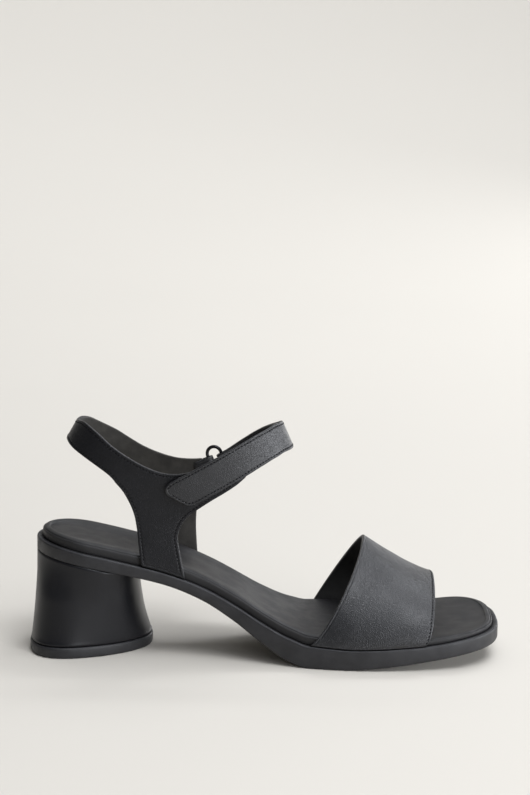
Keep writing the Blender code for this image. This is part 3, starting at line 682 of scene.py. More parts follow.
def runs_of(keep):
    """The stretches of a closed row where keep is true, as lists of places."""
    breaks = np.flatnonzero(~keep)
    if not len(breaks):
        return [list(range(len(keep)))]
    order = np.roll(np.arange(len(keep)), -int(breaks[0]))
    runs, run = [], []
    for i in order:
        if keep[i]:
            run.append(i)
        elif run:
            runs.append(run)
            run = []
    if run:
        runs.append(run)
    return [run for run in runs if len(run) > SHORTEST_RUN]


def edge_stitches(name, loop, place, stretches):
    """Stitches in the groove along a pattern's edge, in the stretches that stretches(row, points) allows."""
    row, kept = kept_row(loop, GROOVE_PLACE)
    points, normals = place(row)
    lines = []
    for stretch in stretches(row, points):
        for run in runs_of(kept & stretch):
            lines.append((points[run] - normals[run] * GROOVE_DEPTH, normals[run]))
    add_stitches(name, lines)


# Strap form
def on_strap(way, up):
    turn = np.where(way < 0, -(1 + way), 1 - way)
    return ankle_points(turn, edge_height(turn, up))


STRAP_UP = table_curve(STRAP_LINE, STRAP_COLUMNS, "up")
STRAP_WAYS = np.linspace(STRAP_LINE[0][0], STRAP_LINE[-1][0], FINE_STEPS)
STRAP_LENGTHS = running_length(on_strap(STRAP_WAYS, STRAP_UP(STRAP_WAYS)))


def strap_distance(way):
    return float(np.interp(way, STRAP_WAYS, STRAP_LENGTHS))


def strap_frames(distance):
    """Points of the strap's line, and unit vectors along it, across it upwards and outwards."""
    before = np.interp(distance - STRAP_STEP / 2, STRAP_LENGTHS, STRAP_WAYS)
    after = np.interp(distance + STRAP_STEP / 2, STRAP_LENGTHS, STRAP_WAYS)
    way = np.interp(distance, STRAP_LENGTHS, STRAP_WAYS)
    along = unit(on_strap(after, STRAP_UP(after)) - on_strap(before, STRAP_UP(before)))
    above = on_strap(way, STRAP_UP(way) + UP_STEP) - on_strap(way, STRAP_UP(way) - UP_STEP)
    outward = unit(np.cross(along, above))
    return on_strap(way, STRAP_UP(way)), along, np.cross(outward, along), outward


def layers_middle(distance):
    """How far out of the ankle form the middle between the strap's two layers lies."""
    lateral = FIT_GAP * 1.5 + STRAP_LEATHER
    ring = -LEATHER / 2
    start = strap_distance(LAYERS_SHIFT_START)
    end = strap_distance(RING_PLACE) - RING_END_RADIUS - STRAP_SPREAD / 2
    return lateral + (ring - lateral) * smooth_step((distance - start) / (end - start))


class FoldedPath:
    """The middle surface of a strip that runs to a bar, bends round it and runs back."""

    def __init__(self, bar, inner_end, outer_end, middle, half_gap, bend_radius, sag=None):
        way = math.copysign(1, bar - inner_end)
        inner = np.arange(0, abs(bar - inner_end), PATH_STEP)[::-1]
        outer = np.arange(PATH_STEP, abs(bar - outer_end) + PATH_STEP, PATH_STEP)
        distance = np.concatenate([bar - way * inner, np.full(BEND_STEPS - 1, bar), bar - way * outer])
        bend = np.linspace(-math.pi / 2, math.pi / 2, BEND_STEPS + 1)[1:-1]
        angle = np.concatenate([np.full(len(inner), -math.pi / 2), bend, np.full(len(outer), math.pi / 2)])
        gap = np.where(distance == bar, bend_radius, half_gap(distance))
        point, along, across, outward = strap_frames(distance)
        shift = middle(distance) + gap * np.sin(angle)
        ahead = way * bend_radius * np.cos(angle)
        self.centre = point + along * ahead[:, None] + outward * shift[:, None]
        if sag is not None:
            self.centre -= across * (sag(distance) * (np.sin(angle) == -1))[:, None]
        self.across = across
        self.normal = unit(outward * np.sin(angle)[:, None] + along * (way * np.cos(angle))[:, None])
        self.distance = distance
        self.way = way
        self.lengths = running_length(self.centre)
        self.bend_start = self.lengths[len(inner) - 1]
        self.bend_end = self.lengths[len(inner) + BEND_STEPS - 1]

    def at(self, run, values):
        return np.column_stack([np.interp(run, self.lengths, values[:, k]) for k in range(3)])

    def place(self, thickness):
        def placed(flat):
            normal = unit(self.at(flat[:, 0], self.normal))
            centre = self.at(flat[:, 0], self.centre) + self.at(flat[:, 0], self.across) * flat[:, 1:]
            return centre + normal * (thickness / 2), normal

        return placed


def even(points):
    return even_steps(points, max(2, round(running_length(points)[-1] / OUTLINE_STEP) + 1))


# The tab's lower edge hangs a little lower than the strap's, and its end is cut at a slant
TAB_DROP = 0.0018
TAB_DROP_START = 0.02
TAB_DROP_MARGIN = 0.05
TAB_DROP_PACE = 1.2
TAB_SLANT = 1.8
TAB_END_BULGE = 0.0003

# The inner layer hangs a little lower than the outer one until it has passed the front
INNER_LAYER_DROP = 0.0010
INNER_DROP_END = 0.10
INNER_DROP_BLEND = 0.030


def strap_parts():
    """The ankle strap's path and its flat outline."""
    bar = strap_distance(RING_PLACE) - RING_END_RADIUS
    bend_radius = RING_WIRE + FIT_GAP + STRAP_LEATHER / 2
    near = (FIT_GAP + STRAP_LEATHER) / 2

    def nearness(distance):
        return smooth_step(1 - (bar - distance) / STRAP_SPREAD)

    def half_gap(distance):
        return near + (bend_radius - near) * nearness(distance)

    def width(distance):
        return STRAP_WIDTH + (STRAP_BEND_WIDTH - STRAP_WIDTH) * nearness(distance)

    def sag(distance):
        return INNER_LAYER_DROP * smooth_step((strap_distance(INNER_DROP_END) - distance) / INNER_DROP_BLEND)

    lap, tab = strap_distance(LAP_START), strap_distance(TAB_END)
    path = FoldedPath(bar, lap, tab, layers_middle, half_gap, bend_radius, sag)
    total = path.lengths[-1]
    reach, low, high = (np.array(TAB_SECTIONS) * STRAP_WIDTH).T

    def edge_line(side, end_line):
        runs = np.linspace(0, end_line[0, 0], 400)[:-1]
        half = width(np.interp(runs, path.lengths, path.distance)) / 2
        if side < 0:
            past_bend = runs - path.bend_end - TAB_DROP_START
            half = half + TAB_DROP * smooth_step(past_bend / (total - path.bend_end - TAB_DROP_MARGIN))
        return np.vstack([np.column_stack([runs, side * half]), smooth_line(end_line, END_STEP)])

    low = low - TAB_DROP * smooth_step(reach / reach[0] * TAB_DROP_PACE)
    lower = edge_line(-1, np.column_stack([total - reach * TAB_SLANT, low]))
    upper = edge_line(1, np.column_stack([total - reach, high]))
    end = np.vstack([lower[-1], (lower[-1] + upper[-1]) / 2 + (TAB_END_BULGE, 0), upper[-1]])
    lines = lower, smooth_line(end, END_STEP), upper[::-1]
    loop = np.concatenate([even(line)[:-1] for line in lines])
    inner_end = np.column_stack([np.zeros(16), np.linspace(upper[0, 1], lower[0, 1], 17)[:-1]])
    return path, np.concatenate([loop, inner_end])


# The keeper spreads a little beyond its width, and its corners are rounded
KEEPER_SPREAD = 0.0009
KEEPER_CORNER = 0.0016


def keeper_parts():
    """The ring keeper's path and its flat outline."""
    bar = strap_distance(RING_PLACE) + RING_END_RADIUS
    bend_radius = RING_WIRE + FIT_GAP + KEEPER_LEATHER / 2
    over_arm = LEATHER / 2 + FIT_GAP + KEEPER_LEATHER / 2

    def half_gap(distance):
        return bend_radius + (over_arm - bend_radius) * smooth_step((distance - bar) / bend_radius)

    end = bar + KEEPER_LENGTH
    path = FoldedPath(bar, end, end, lambda distance: 0 * distance - LEATHER / 2, half_gap, bend_radius)
    total = path.lengths[-1]
    half = KEEPER_WIDTH / 2 + KEEPER_SPREAD
    corner = KEEPER_CORNER
    turn = np.linspace(0, math.pi / 2, 9)
    sine, cosine = corner * np.sin(turn), corner * np.cos(turn)
    end_lower = np.column_stack([total - corner + sine, -half + corner - cosine])
    start_lower = np.column_stack([corner - cosine, -half + corner - sine])
    lower = np.vstack([start_lower, end_lower])
    upper = lower * (1, -1) + (0, KEEPER_SPREAD)
    return path, np.concatenate([even(lower), even(upper[::-1])])


# Materials
class Look:
    """A material made of nodes. Numbers that are the same all over stay on the shader's own sockets."""

    def __init__(self, name, colour, roughness, metallic=0.0, specular=0.5, sheen=0.0):
        self.material = bpy.data.materials.new(name)
        self.material.use_nodes = True
        self.nodes = self.material.node_tree.nodes
        self.shader = self.nodes["Principled BSDF"]
        values = {
            "Base Color": (*colour, 1), "Roughness": roughness, "Metallic": metallic,
            "Specular IOR Level": specular, "Sheen Weight": sheen, "Sheen Roughness": 0.5,
        }
        for socket, value in values.items():
            self.shader.inputs[socket].default_value = value
        self.place = self.nodes.new("ShaderNodeTexCoord").outputs["Object"]
        self.height = None

    def link(self, start, end):
        self.material.node_tree.links.new(start, end)

    def math(self, operation, first, second):
        node = self.nodes.new("ShaderNodeMath")
        node.operation = operation
        for socket, value in zip(node.inputs, (first, second)):
            if isinstance(value, (int, float)):
                socket.default_value = value
            else:
                self.link(value, socket)
        return node.outputs[0]

    def spread(self, value, low, high, to_low, to_high):
        node = self.nodes.new("ShaderNodeMapRange")
        node.interpolation_type = "SMOOTHSTEP"
        self.link(value, node.inputs["Value"])
        for socket, number in zip(("From Min", "From Max", "To Min", "To Max"), (low, high, to_low, to_high)):
            node.inputs[socket].default_value = number
        return node.outputs["Result"]

    def noise(self, scale, detail=2.0, stretch=(1, 1, 1)):
        shaped = self.nodes.new("ShaderNodeMapping")
        shaped.inputs["Scale"].default_value = stretch
        self.link(self.place, shaped.inputs["Vector"])
        node = self.nodes.new("ShaderNodeTexNoise")
        node.inputs["Scale"].default_value = scale
        node.inputs["Detail"].default_value = detail
        self.link(shaped.outputs[0], node.inputs["Vector"])
        return node.outputs["Fac"]

    def cells(self, scale, warp):
        """Cells of the leather's grain, pushed about a little so that they don't look drawn."""
        noise = self.nodes.new("ShaderNodeTexNoise")
        noise.inputs["Scale"].default_value = scale * 0.6
        self.link(self.place, noise.inputs["Vector"])
        push = self.nodes.new("ShaderNodeVectorMath")
        push.operation = "MULTIPLY_ADD"
        push.inputs[1].default_value = (warp,) * 3
        self.link(noise.outputs["Color"], push.inputs[0])
        self.link(self.place, push.inputs[2])
        node = self.nodes.new("ShaderNodeTexVoronoi")
        node.feature = "DISTANCE_TO_EDGE"
        node.inputs["Scale"].default_value = scale
        self.link(push.outputs[0], node.inputs["Vector"])
        return node.outputs["Distance"]

    def add_height(self, value, depth):
        """Adds relief, value times depth in metres, to the bump."""
        scaled = self.math("MULTIPLY", value, depth)
        self.height = scaled if self.height is None else self.math("ADD", self.height, scaled)

    def edge(self):
        node = self.nodes.new("ShaderNodeAttribute")
        node.attribute_name = "edge"
        return node.outputs["Fac"]

    def tone(self, value, dark, light):
        """The base colour runs between two colours as value runs from 0 to 1."""
        node = self.nodes.new("ShaderNodeMix")
        node.data_type = "RGBA"
        node.inputs["A"].default_value = (*dark, 1)
        node.inputs["B"].default_value = (*light, 1)
        self.link(value, node.inputs["Factor"])
        self.link(node.outputs["Result"], self.shader.inputs["Base Color"])

    def rough(self, value):
        self.link(value, self.shader.inputs["Roughness"])

    def patchy_rough(self, scale, detail, low, high):
        """Roughness that wanders between two values in soft patches."""
        self.rough(self.spread(self.noise(scale, detail), 0.3, 0.7, low, high))

    def done(self):
        if self.height is not None:
            bump = self.nodes.new("ShaderNodeBump")
            bump.inputs["Strength"].default_value = 1.0
            bump.inputs["Distance"].default_value = 1.0
            self.link(self.height, bump.inputs["Height"])
            self.link(bump.outputs[0], self.shader.inputs["Normal"])
        return self.material


def leather_face(name, dark, light, specular):
    """Fine pebbled black leather, a little glossier on the pebbles' tops and where it is rolled. Its colour
    holds painted shade: darker in the creases between the pebbles, paler on their tops.
    """
    look = Look(name, light, 0.36, specular=specular)
    pebble = look.spread(look.cells(1350, 0.0005), 0.0, 0.34, 0.0, 1.0)
    patch = look.spread(look.noise(45, 3), 0.35, 0.65, 0.55, 1.0)
    look.add_height(look.math("MULTIPLY", pebble, patch), 0.00008)
    look.add_height(look.noise(3400, 2), 0.000010)
    look.add_height(look.noise(70, 3), 0.00005)
    # Painted shade: the base colour is darker in the creases between the pebbles and paler on their tops,
    # following the same cells as the relief.
    look.tone(look.math("MULTIPLY", pebble, patch), dark, light)
    wear = look.spread(look.edge(), 0.0, 0.0011, -0.05, 0.0)
    look.rough(look.math("ADD", look.spread(pebble, 0.0, 1.0, 0.41, 0.31), wear))
    return look.done()


def leather_edge():
    look = Look("painted_leather_edge", (0.010, 0.010, 0.011), 0.42)
    look.add_height(look.noise(1800, 2, (1, 1, 0.4)), 0.00005)
    look.tone(look.noise(300, 3), (0.007, 0.007, 0.008), (0.018, 0.017, 0.018))
    look.patchy_rough(400, 2, 0.36, 0.52)
    return look.done()


def lining(name, dark, light, roughness):
    """Soft brownish black lining with a suede nap and a few faint creases."""
    look = Look(name, dark, roughness, specular=0.3, sheen=0.12)
    look.add_height(look.noise(3200, 3), 0.00005)
    look.add_height(look.noise(120, 5, (1, 1, 2.2)), 0.00012)
    look.tone(look.spread(look.noise(140, 5), 0.35, 0.7, 0.0, 1.0), dark, light)
    look.patchy_rough(200, 3, roughness - 0.07, roughness + 0.07)
    return look.done()


def footbed_leather():
    look = Look("footbed_leather_smooth", (0.022, 0.021, 0.022), 0.55, specular=0.38)
    pores = look.spread(look.cells(2100, 0.0004), 0.0, 0.25, 0.0, 1.0)
    look.add_height(pores, 0.000018)
    look.add_height(look.noise(70, 4), 0.00005)
    patches = look.spread(look.noise(35, 4), 0.3, 0.7, 0.0, 1.0)
    look.tone(patches, (0.0118, 0.0114, 0.0122), (0.0130, 0.0127, 0.0134))
    look.patchy_rough(120, 4, 0.48, 0.60)
    return look.done()


def heel_satin():
    look = Look("heel_cover_satin", (0.009, 0.009, 0.011), 0.36, specular=0.34)
    look.add_height(look.noise(1500, 2), 0.000012)
    look.add_height(look.noise(90, 3, (1, 1, 0.25)), 0.00003)
    look.tone(look.noise(50, 4, (1, 1, 0.3)), (0.0040, 0.0042, 0.0056), (0.0074, 0.0076, 0.0100))
    look.patchy_rough(60, 4, 0.33, 0.42)
    return look.done()


def rubber():
    look = Look("sole_rubber_matte", (0.014, 0.014, 0.0165), 0.52, specular=0.45)
    look.add_height(look.noise(2400, 2), 0.000035)
    look.add_height(look.noise(160, 3), 0.00007)
    patches = look.spread(look.noise(110, 5), 0.3, 0.7, 0.0, 1.0)
    look.tone(patches, (0.010, 0.010, 0.0118), (0.018, 0.018, 0.0205))
    look.patchy_rough(240, 3, 0.44, 0.60)
    return look.done()


def thread():
    look = Look("black_thread", (0.004, 0.004, 0.005), 0.75, specular=0.12)
    look.add_height(look.noise(5200, 1), 0.00004)
    look.tone(look.noise(3000, 1), (0.002, 0.002, 0.0025), (0.006, 0.006, 0.007))
    look.patchy_rough(2500, 1, 0.65, 0.85)
    return look.done()


def black_metal():
    look = Look("ring_black_metal", (0.030, 0.030, 0.032), 0.3, metallic=0.85, specular=0.5)
    look.add_height(look.noise(900, 3), 0.000015)
    look.tone(look.noise(500, 3), (0.022, 0.022, 0.024), (0.042, 0.042, 0.044))
    look.patchy_rough(700, 3, 0.24, 0.38)
    return look.done()


# The quarter's leather and the strap's are one leather. The strap's copy, which the vamp and the keeper also
# use, has its colour painted paler as painted light and has a glossier finish.
LEATHER_FACE = leather_face("upper_leather_grain", (0.0032, 0.0034, 0.0048), (0.0072, 0.0075, 0.0100), 0.30)
STRAP_FACE_PAINTED_PALER = leather_face("strap_leather_painted_paler", (0.0048, 0.0051, 0.0066), (0.0104, 0.0108, 0.0138), 0.55)
LEATHER_EDGE = leather_edge()
QUARTER_LINING = lining("quarter_lining_suede", (0.022, 0.0202, 0.0178), (0.036, 0.0332, 0.0292), 0.74)
VAMP_LINING = lining("vamp_lining_leather", (0.009, 0.0088, 0.0085), (0.015, 0.0145, 0.014), 0.66)
FOOTBED_LEATHER = footbed_leather()
HEEL_SATIN = heel_satin()
RUBBER = rubber()
THREAD = thread()
BLACK_METAL = black_metal()


# Footbed form
FOOTBED_INSET = RIM_WIDTH + FIT_GAP
FOOTBED_EDGE = table_curve(FOOTBED_SECTIONS, FOOTBED_COLUMNS, "rise", FOOTBED_RISE)
FOOTBED_HOLLOW = table_curve(FOOTBED_SECTIONS, FOOTBED_COLUMNS, "dish", FOOTBED_DISH)


def footbed_side(x, share):
    """A height on the footbed's side, share being 0 at the rim and 1 at its upper edge."""
    return rim(x) + FOOTBED_EDGE(station(x)) * share


def footbed_top(x, y):
    """The footbed's surface, dished between its raised edges."""
    lateral = side_y(x, -1) + FOOTBED_INSET + FOOTBED_SHOULDER
    medial = side_y(x, 1) - FOOTBED_INSET - FOOTBED_SHOULDER
    across = np.clip(abs(2 * y - lateral - medial) / max(medial - lateral, FIT_GAP), 0, 1)
    return footbed_side(x, 1.0) - FOOTBED_HOLLOW(station(x)) * smooth_step((1 - across) * 2)


# The footbed's side from its foot to its top: inset from its outline in shares of its shoulder, and height
# in shares of its edge. The dip is the crease where the side's cover is joined to the top's.
FOOTBED_PROFILE = (
    (0.10, -0.05), (0.02, 0.02), (0.00, 0.12), (-0.01, 0.30), (-0.01, 0.50), (0.01, 0.62), (0.05, 0.71),
    (0.11, 0.765), (0.17, 0.780), (0.205, 0.765), (0.225, 0.735), (0.24, 0.715), (0.26, 0.735), (0.27, 0.775),
    (0.29, 0.820), (0.34, 0.870), (0.42, 0.915), (0.54, 0.955), (0.70, 0.982), (0.86, 0.996), (1.00, 1.000),
)

# The footbed's foot is drawn in a little. Its toe is a little thicker on the medial side: the lift starts at
# these places along and across the sandal, and grows over these lengths.
FOOTBED_FOOT_INSET = 0.0004
TOE_LIFT = 0.0011
TOE_LIFT_START = (0.135, -0.012)
TOE_LIFT_LENGTH = (0.045, 0.040)


def make_footbed():
    outline = sole_outline()
    rings = [raised(inset_loop(outline, FOOTBED_INSET + FOOTBED_FOOT_INSET), lambda x: deck(x) + FIT_GAP)]
    for inset, share in FOOTBED_PROFILE:
        loop = inset_loop(outline, FOOTBED_INSET + FOOTBED_SHOULDER * inset)
        rings.append(raised(loop, lambda x, share=share: footbed_side(x, share)))
    verts, faces = stacked(rings, lambda x, y: deck(x) + FIT_GAP, footbed_top, SOLE_CELLS)
    x, y, z = np.array(verts, float).T
    share = np.clip((z - rim(x)) / FOOTBED_EDGE(station(x)), 0, 1)
    grown = [smooth_step((at - TOE_LIFT_START[k]) / TOE_LIFT_LENGTH[k]) for k, at in enumerate((x, y))]
    z = z + TOE_LIFT * share * grown[0] * grown[1]
    verts = list(np.column_stack([x, y, z]))
    add_piece("footbed_cover", verts, faces, [FOOTBED_LEATHER], ["footbed"])


# The tread's edge is crisp on the heel, where the block meets it, and rounded in front of it
SEAT_EDGE_SHARE = 0.22
SEAT_EDGE_END = 0.016
SEAT_EDGE_BLEND = 0.020

# The outsole's side. From the tread up: inset and height as shares of the tread's edge. Up to the rim: inset
# and drop below the rim in metres.
TREAD_PROFILE = ((1.0, 0.0), (0.62, 0.09), (0.32, 0.30), (0.10, 0.64), (0.0, 1.0))
RIM_PROFILE = (
    (0.0, 0.0030), (0.0, 0.0012), (0.00008, 0.00062), (0.00028, 0.00026), (0.00055, 0.00007), (0.0009, 0.0),
)
RIM_INNER_EDGE = 0.0002
RIM_INNER_DROP = 0.0003


def make_outsole():
    outline = sole_outline()
    rounded = smooth_step((outline[:, 0] - SEAT_EDGE_END) / SEAT_EDGE_BLEND)
    share = (SEAT_EDGE_SHARE + (1 - SEAT_EDGE_SHARE) * rounded) * TREAD_EDGE
    rings = []
    for inset, lift in TREAD_PROFILE:
        loop = outline + (inset_loop(outline, 1.0) - outline) * (share * inset)[:, None]
        rings.append(np.column_stack([loop, underside(loop[:, 0]) + share * lift]))
    for inset, drop in RIM_PROFILE:
        rings.append(raised(inset_loop(outline, inset), lambda x, drop=drop: rim(x) - drop))
    rings.append(raised(inset_loop(outline, RIM_WIDTH - RIM_INNER_EDGE), rim))
    rings.append(raised(inset_loop(outline, RIM_WIDTH), lambda x: rim(x) - RIM_INNER_DROP))
    rings.append(raised(inset_loop(outline, RIM_WIDTH), deck))
    verts, faces = stacked(rings, lambda x, y: underside(x), lambda x, y: deck(x), SOLE_CELLS)
    add_piece("outsole_rubber", verts, faces, [RUBBER], ["outsole"])


# Heel form
HEEL_CURVES = {name: table_curve(HEEL_SECTIONS, HEEL_COLUMNS, name) for name in HEEL_COLUMNS[1:]}


def heel_loop(height, grow=0.0):
    """One section of the heel in plan, from the back along the lateral side, round and back."""
    seat, squareness, taper, twist = (float(HEEL_CURVES[name](height)) for name in HEEL_COLUMNS[1:])
    half_length = ((1 - seat) * TREAD_LENGTH + seat * HEEL_TOP_LENGTH) / 2
    half_width = (1 - seat) * TREAD_WIDTH / 2 + seat * (SEAT_RADIUS - HEEL_TOP_INSET)
    centre = seat * (HEEL_TOP_LENGTH / 2 - HEEL_SETBACK + HEEL_TOP_INSET)
    angles = np.linspace(0, 2 * math.pi, HEEL_POINTS, endpoint=False)
    along = -(half_length + grow) * signed_power(np.cos(angles), 2 / squareness)
    across = -(half_width + grow) * signed_power(np.sin(angles), 2 / squareness)
    across = across * (1 - taper * along / half_length) + twist * along
    return np.column_stack([centre + along, across])


# The heel flares at its top, from this share of its height on. Behind its breast its upper part meets the
# sole's side, from half its height on: the breast's place, the length of the change and the gap to the side.
HEEL_TOP_FLARE = 0.0005
HEEL_FLARE_START = 0.7
HEEL_FLUSH_START = 0.5
HEEL_BREAST = 0.014
HEEL_BREAST_BLEND = 0.016
HEEL_SIDE_GAP = 0.0003

# The block's lowest rings: how much they grow and how high they lie, then the height of the first full one
HEEL_FOOT_PROFILE = ((-0.0009, 0.0), (-0.0004, 0.0001), (-0.0001, 0.0004))
HEEL_FOOT_ROUNDING = 0.0009


def flush_with_sole(loop, height):
    """Lets the heel's upper part meet the sole's side behind the heel's breast, and never pass it."""
    x, y = loop.T
    side = np.where(y < 0, -1.0, 1.0)
    half = np.abs(y)
    limit = np.abs(side_y(x, side)) - HEEL_SIDE_GAP
    wider = half + (np.maximum(half, limit) - half) * smooth_step((HEEL_BREAST - x) / HEEL_BREAST_BLEND)
    weight = smooth_step((height - HEEL_FLUSH_START) / (1 - HEEL_FLUSH_START))
    return np.column_stack([x, side * (half + (np.minimum(wider, limit) - half) * weight)])


def make_heel():
    foot = LIFT_HEIGHT + FIT_GAP
    rings = []
    for grow, lift in HEEL_FOOT_PROFILE:
        rings.append(raised(heel_loop(0.0, grow), foot + lift))
    rings.append(raised(heel_loop(0.0), foot + HEEL_FOOT_ROUNDING))
    for height in np.linspace(0, 1, HEEL_ROWS + 1)[1:]:
        flare = HEEL_TOP_FLARE * smooth_step((height - HEEL_FLARE_START) / (1 - HEEL_FLARE_START))
        loop = flush_with_sole(heel_loop(height, flare), height)
        rings.append(raised(loop, lambda x, height=height: foot + height * (underside(x) - FIT_GAP - foot)))
    verts, faces = stacked(rings, lambda x, y: foot, lambda x, y: underside(x) - FIT_GAP, SOLE_CELLS)
    add_piece("heel_cover", verts, faces, [HEEL_SATIN], ["heel_block"])


def make_lift():
    profile = (
        (-0.0006, 0.0), (-0.0002, 0.00012), (0.0002, 0.0005), (LIFT_OVERHANG, 0.0012),
        (LIFT_OVERHANG, 0.0040), (LIFT_OVERHANG, LIFT_HEIGHT - 0.0009), (0.00035, LIFT_HEIGHT - 0.0004),
        (0.0, LIFT_HEIGHT - 0.0001), (-0.0005, LIFT_HEIGHT),
    )
    rings = [raised(heel_loop(0.0, grow), height) for grow, height in profile]
    verts, faces = stacked(rings, lambda x, y: 0.0, lambda x, y: LIFT_HEIGHT, SOLE_CELLS)
    add_piece("heel_lift_rubber", verts, faces, [RUBBER], ["heel_top_lift"])


# Vamp form
VAMP_CURVES = {name: table_curve(VAMP_SECTIONS, VAMP_COLUMNS, name) for name in VAMP_COLUMNS[1:]}


def vamp_arch(way):
    """One arch of the vamp's outer face, from its lateral foot over the crown to its medial foot."""
    section = {name: float(curve(way)) for name, curve in VAMP_CURVES.items()}
    rear_x = VAMP_PLACE * SOLE_LENGTH - HEEL_SETBACK
    crown_x = rear_x + section["crown"] * VAMP_LENGTH
    crown_z = rim(rear_x) + section["rise"] * VAMP_HEIGHT
    ridge = section["ridge"] * VAMP_WIDTH
    turn = np.linspace(0, math.pi / 2, FINE_STEPS)
    halves = []
    for side, label in ((-1, "lateral"), (1, "medial")):
        foot_x = rear_x + section[label] * VAMP_LENGTH
        foot_y = side_y(foot_x, side) - side * STRAP_SEAT_INSET
        foot_z = rim(foot_x) + STRAP_SEAT_GAP
        power = 2 / section[label + "_squareness"]
        high = np.sin(turn) ** power
        x = foot_x + (crown_x - foot_x) * high ** section[label + "_lean"]
        y = ridge + (foot_y - ridge) * signed_power(np.cos(turn), power)
        halves.append(np.column_stack([x, y, foot_z + (crown_z - foot_z) * high]))
    return even_steps(np.concatenate([halves[0], halves[1][-2::-1]]), VAMP_ACROSS + 1)


def make_vamp():
    """The vamp band: a fine grid from its rear edge to its front edge and from foot to foot."""
    dense = np.array([vamp_arch(way) for way in np.linspace(0, 1, VAMP_WAYS)])
    steps = np.linalg.norm(np.diff(dense, axis=0), axis=2)
    runs = np.vstack([np.zeros(VAMP_ACROSS + 1), np.cumsum(steps, axis=0)])
    total = runs[-1]
    offsets = np.array((0.0,) + EDGE_OFFSETS)
    inner_share = np.linspace(0, 1, VAMP_ROWS + 1)[1:-1, None]
    middle = offsets[-1] + inner_share * (total - 2 * offsets[-1])
    wanted = np.vstack([np.tile(offsets[:, None], VAMP_ACROSS + 1), middle, total - offsets[::-1, None]])
    surface = np.empty((len(wanted), VAMP_ACROSS + 1, 3))
    for j in range(VAMP_ACROSS + 1):
        for k in range(3):
            surface[:, j, k] = np.interp(wanted[:, j], runs[:, j], dense[:, j, k])
    forward = np.gradient(surface, axis=0)
    around = np.gradient(surface, axis=1)
    normal = unit(np.cross(unit(forward), unit(around)))
    distance = np.minimum(wanted, total - wanted)
    arch_steps = np.linalg.norm(np.diff(surface, axis=1), axis=2)
    arch_run = np.concatenate([np.zeros((len(wanted), 1)), np.cumsum(arch_steps, axis=1)], axis=1)
    foot = np.minimum(arch_run, arch_run[:, -1:] - arch_run)
    drop = edge_profile(distance) + rounding(foot, FOOT_RADIUS)
    outer = surface - normal * drop[..., None]
    inner = surface - normal * (LEATHER - rounding(distance) - rounding(foot, FOOT_RADIUS))[..., None]
    shape = wanted.shape
    count = shape[0] * shape[1]
    number = np.arange(count).reshape(shape)
    verts = list(outer.reshape(-1, 3)) + list(inner.reshape(-1, 3))
    faces, kinds = [], []
    for i in range(shape[0] - 1):
        for j in range(shape[1] - 1):
            quad = (number[i, j], number[i + 1, j], number[i + 1, j + 1], number[i, j + 1])
            faces.append(quad)
            faces.append(tuple(n + count for n in quad[::-1]))
            kinds.extend((0, 2))
    border = np.concatenate([number[0, :-1], number[:-1, -1], number[-1, :0:-1], number[:0:-1, 0]])
    second = np.concatenate([number[1, :-1], number[:-1, -2], number[-2, :0:-1], number[:0:-1, 1]])
    flat_surface = surface.reshape(-1, 3)
    flat_outer, flat_inner = outer.reshape(-1, 3), inner.reshape(-1, 3)
    inward = unit(flat_surface[second] - flat_surface[border])
    walls = flat_outer[border], flat_inner[border], inward
    add_walls(verts, faces, kinds, *walls, border, border + count)
    edge = np.concatenate([distance.reshape(-1), distance.reshape(-1), np.zeros(len(verts) - 2 * count)])
    materials = [STRAP_FACE_PAINTED_PALER, LEATHER_EDGE, VAMP_LINING]
    add_piece("vamp_leather", verts, faces, materials, ["vamp_band"], kinds, edge)
    groove = int(np.argmin(np.abs(offsets - GROOVE_PLACE)))
    row = shape[0] - 1 - groove
    stretch = slice(3, VAMP_ACROSS - 2)
    line = outer[row, stretch], normal[row, stretch]
    add_stitches("vamp_front_stitches", [line])


def make_quarter():
    loop = anticlockwise(quarter_outline())
    pattern_shell("quarter_leather", "heel_quarter", loop, quarter_place, LEATHER, LEATHER_FACE)

    def above_rim(row, points):
        return [row[:, 1] - rim(points[:, 0]) > STITCH_RIM_GAP]

    edge_stitches("quarter_stitches", loop, quarter_place, above_rim)


def make_strap():
    path, loop = strap_parts()
    loop = anticlockwise(loop)
    place = path.place(STRAP_LEATHER)
    pattern_shell("ankle_strap_leather", "ankle_strap", loop, place, STRAP_LEATHER, STRAP_FACE_PAINTED_PALER)

    def clear_of_bend(row, points):
        return row[:, 0] > path.bend_end + STITCH_BEND_GAP, row[:, 0] < path.bend_start - STITCH_BEND_GAP

    edge_stitches("strap_stitches", loop, place, clear_of_bend)


def make_keeper():
    path, loop = keeper_parts()
    place = path.place(KEEPER_LEATHER)
    pattern_shell("ring_keeper_leather", "ring_keeper", loop, place, KEEPER_LEATHER, STRAP_FACE_PAINTED_PALER, KEEPER_CELL)


# The ring sits a little above the strap's middle line
RING_RISE = 0.0008


def make_ring():
    """The oblong wire ring as a closed tube."""
    point, along, across, outward = (v[0] for v in strap_frames(np.array([strap_distance(RING_PLACE)])))
    centre = point - outward * (LEATHER / 2) + across * RING_RISE
    angles = np.linspace(0, math.pi, RING_TURN_STEPS)
    middle = []
    for side in (1, -1):
        for angle in angles:
            reach = along * math.cos(angle) + across * math.sin(angle)
            middle.append(centre + (across * (RING_STRAIGHT / 2) + reach * RING_END_RADIUS) * side)
    middle = np.array(middle)
    count, sides = len(middle), RING_SIDES
    tangent = unit(np.roll(middle, -1, 0) - np.roll(middle, 1, 0))
    verts, faces = [], []
    for place, way in zip(middle, tangent):
        beside = np.cross(way, outward)
        for s in range(sides):
            turn = 2 * math.pi * s / sides
            verts.append(place + (outward * math.cos(turn) + beside * math.sin(turn)) * RING_WIRE)
    for i in range(count):
        faces.extend(ring_faces(i * sides, (i + 1) % count * sides, sides))
    add_piece("strap_ring_metal", verts, faces, [BLACK_METAL], ["strap_ring"])


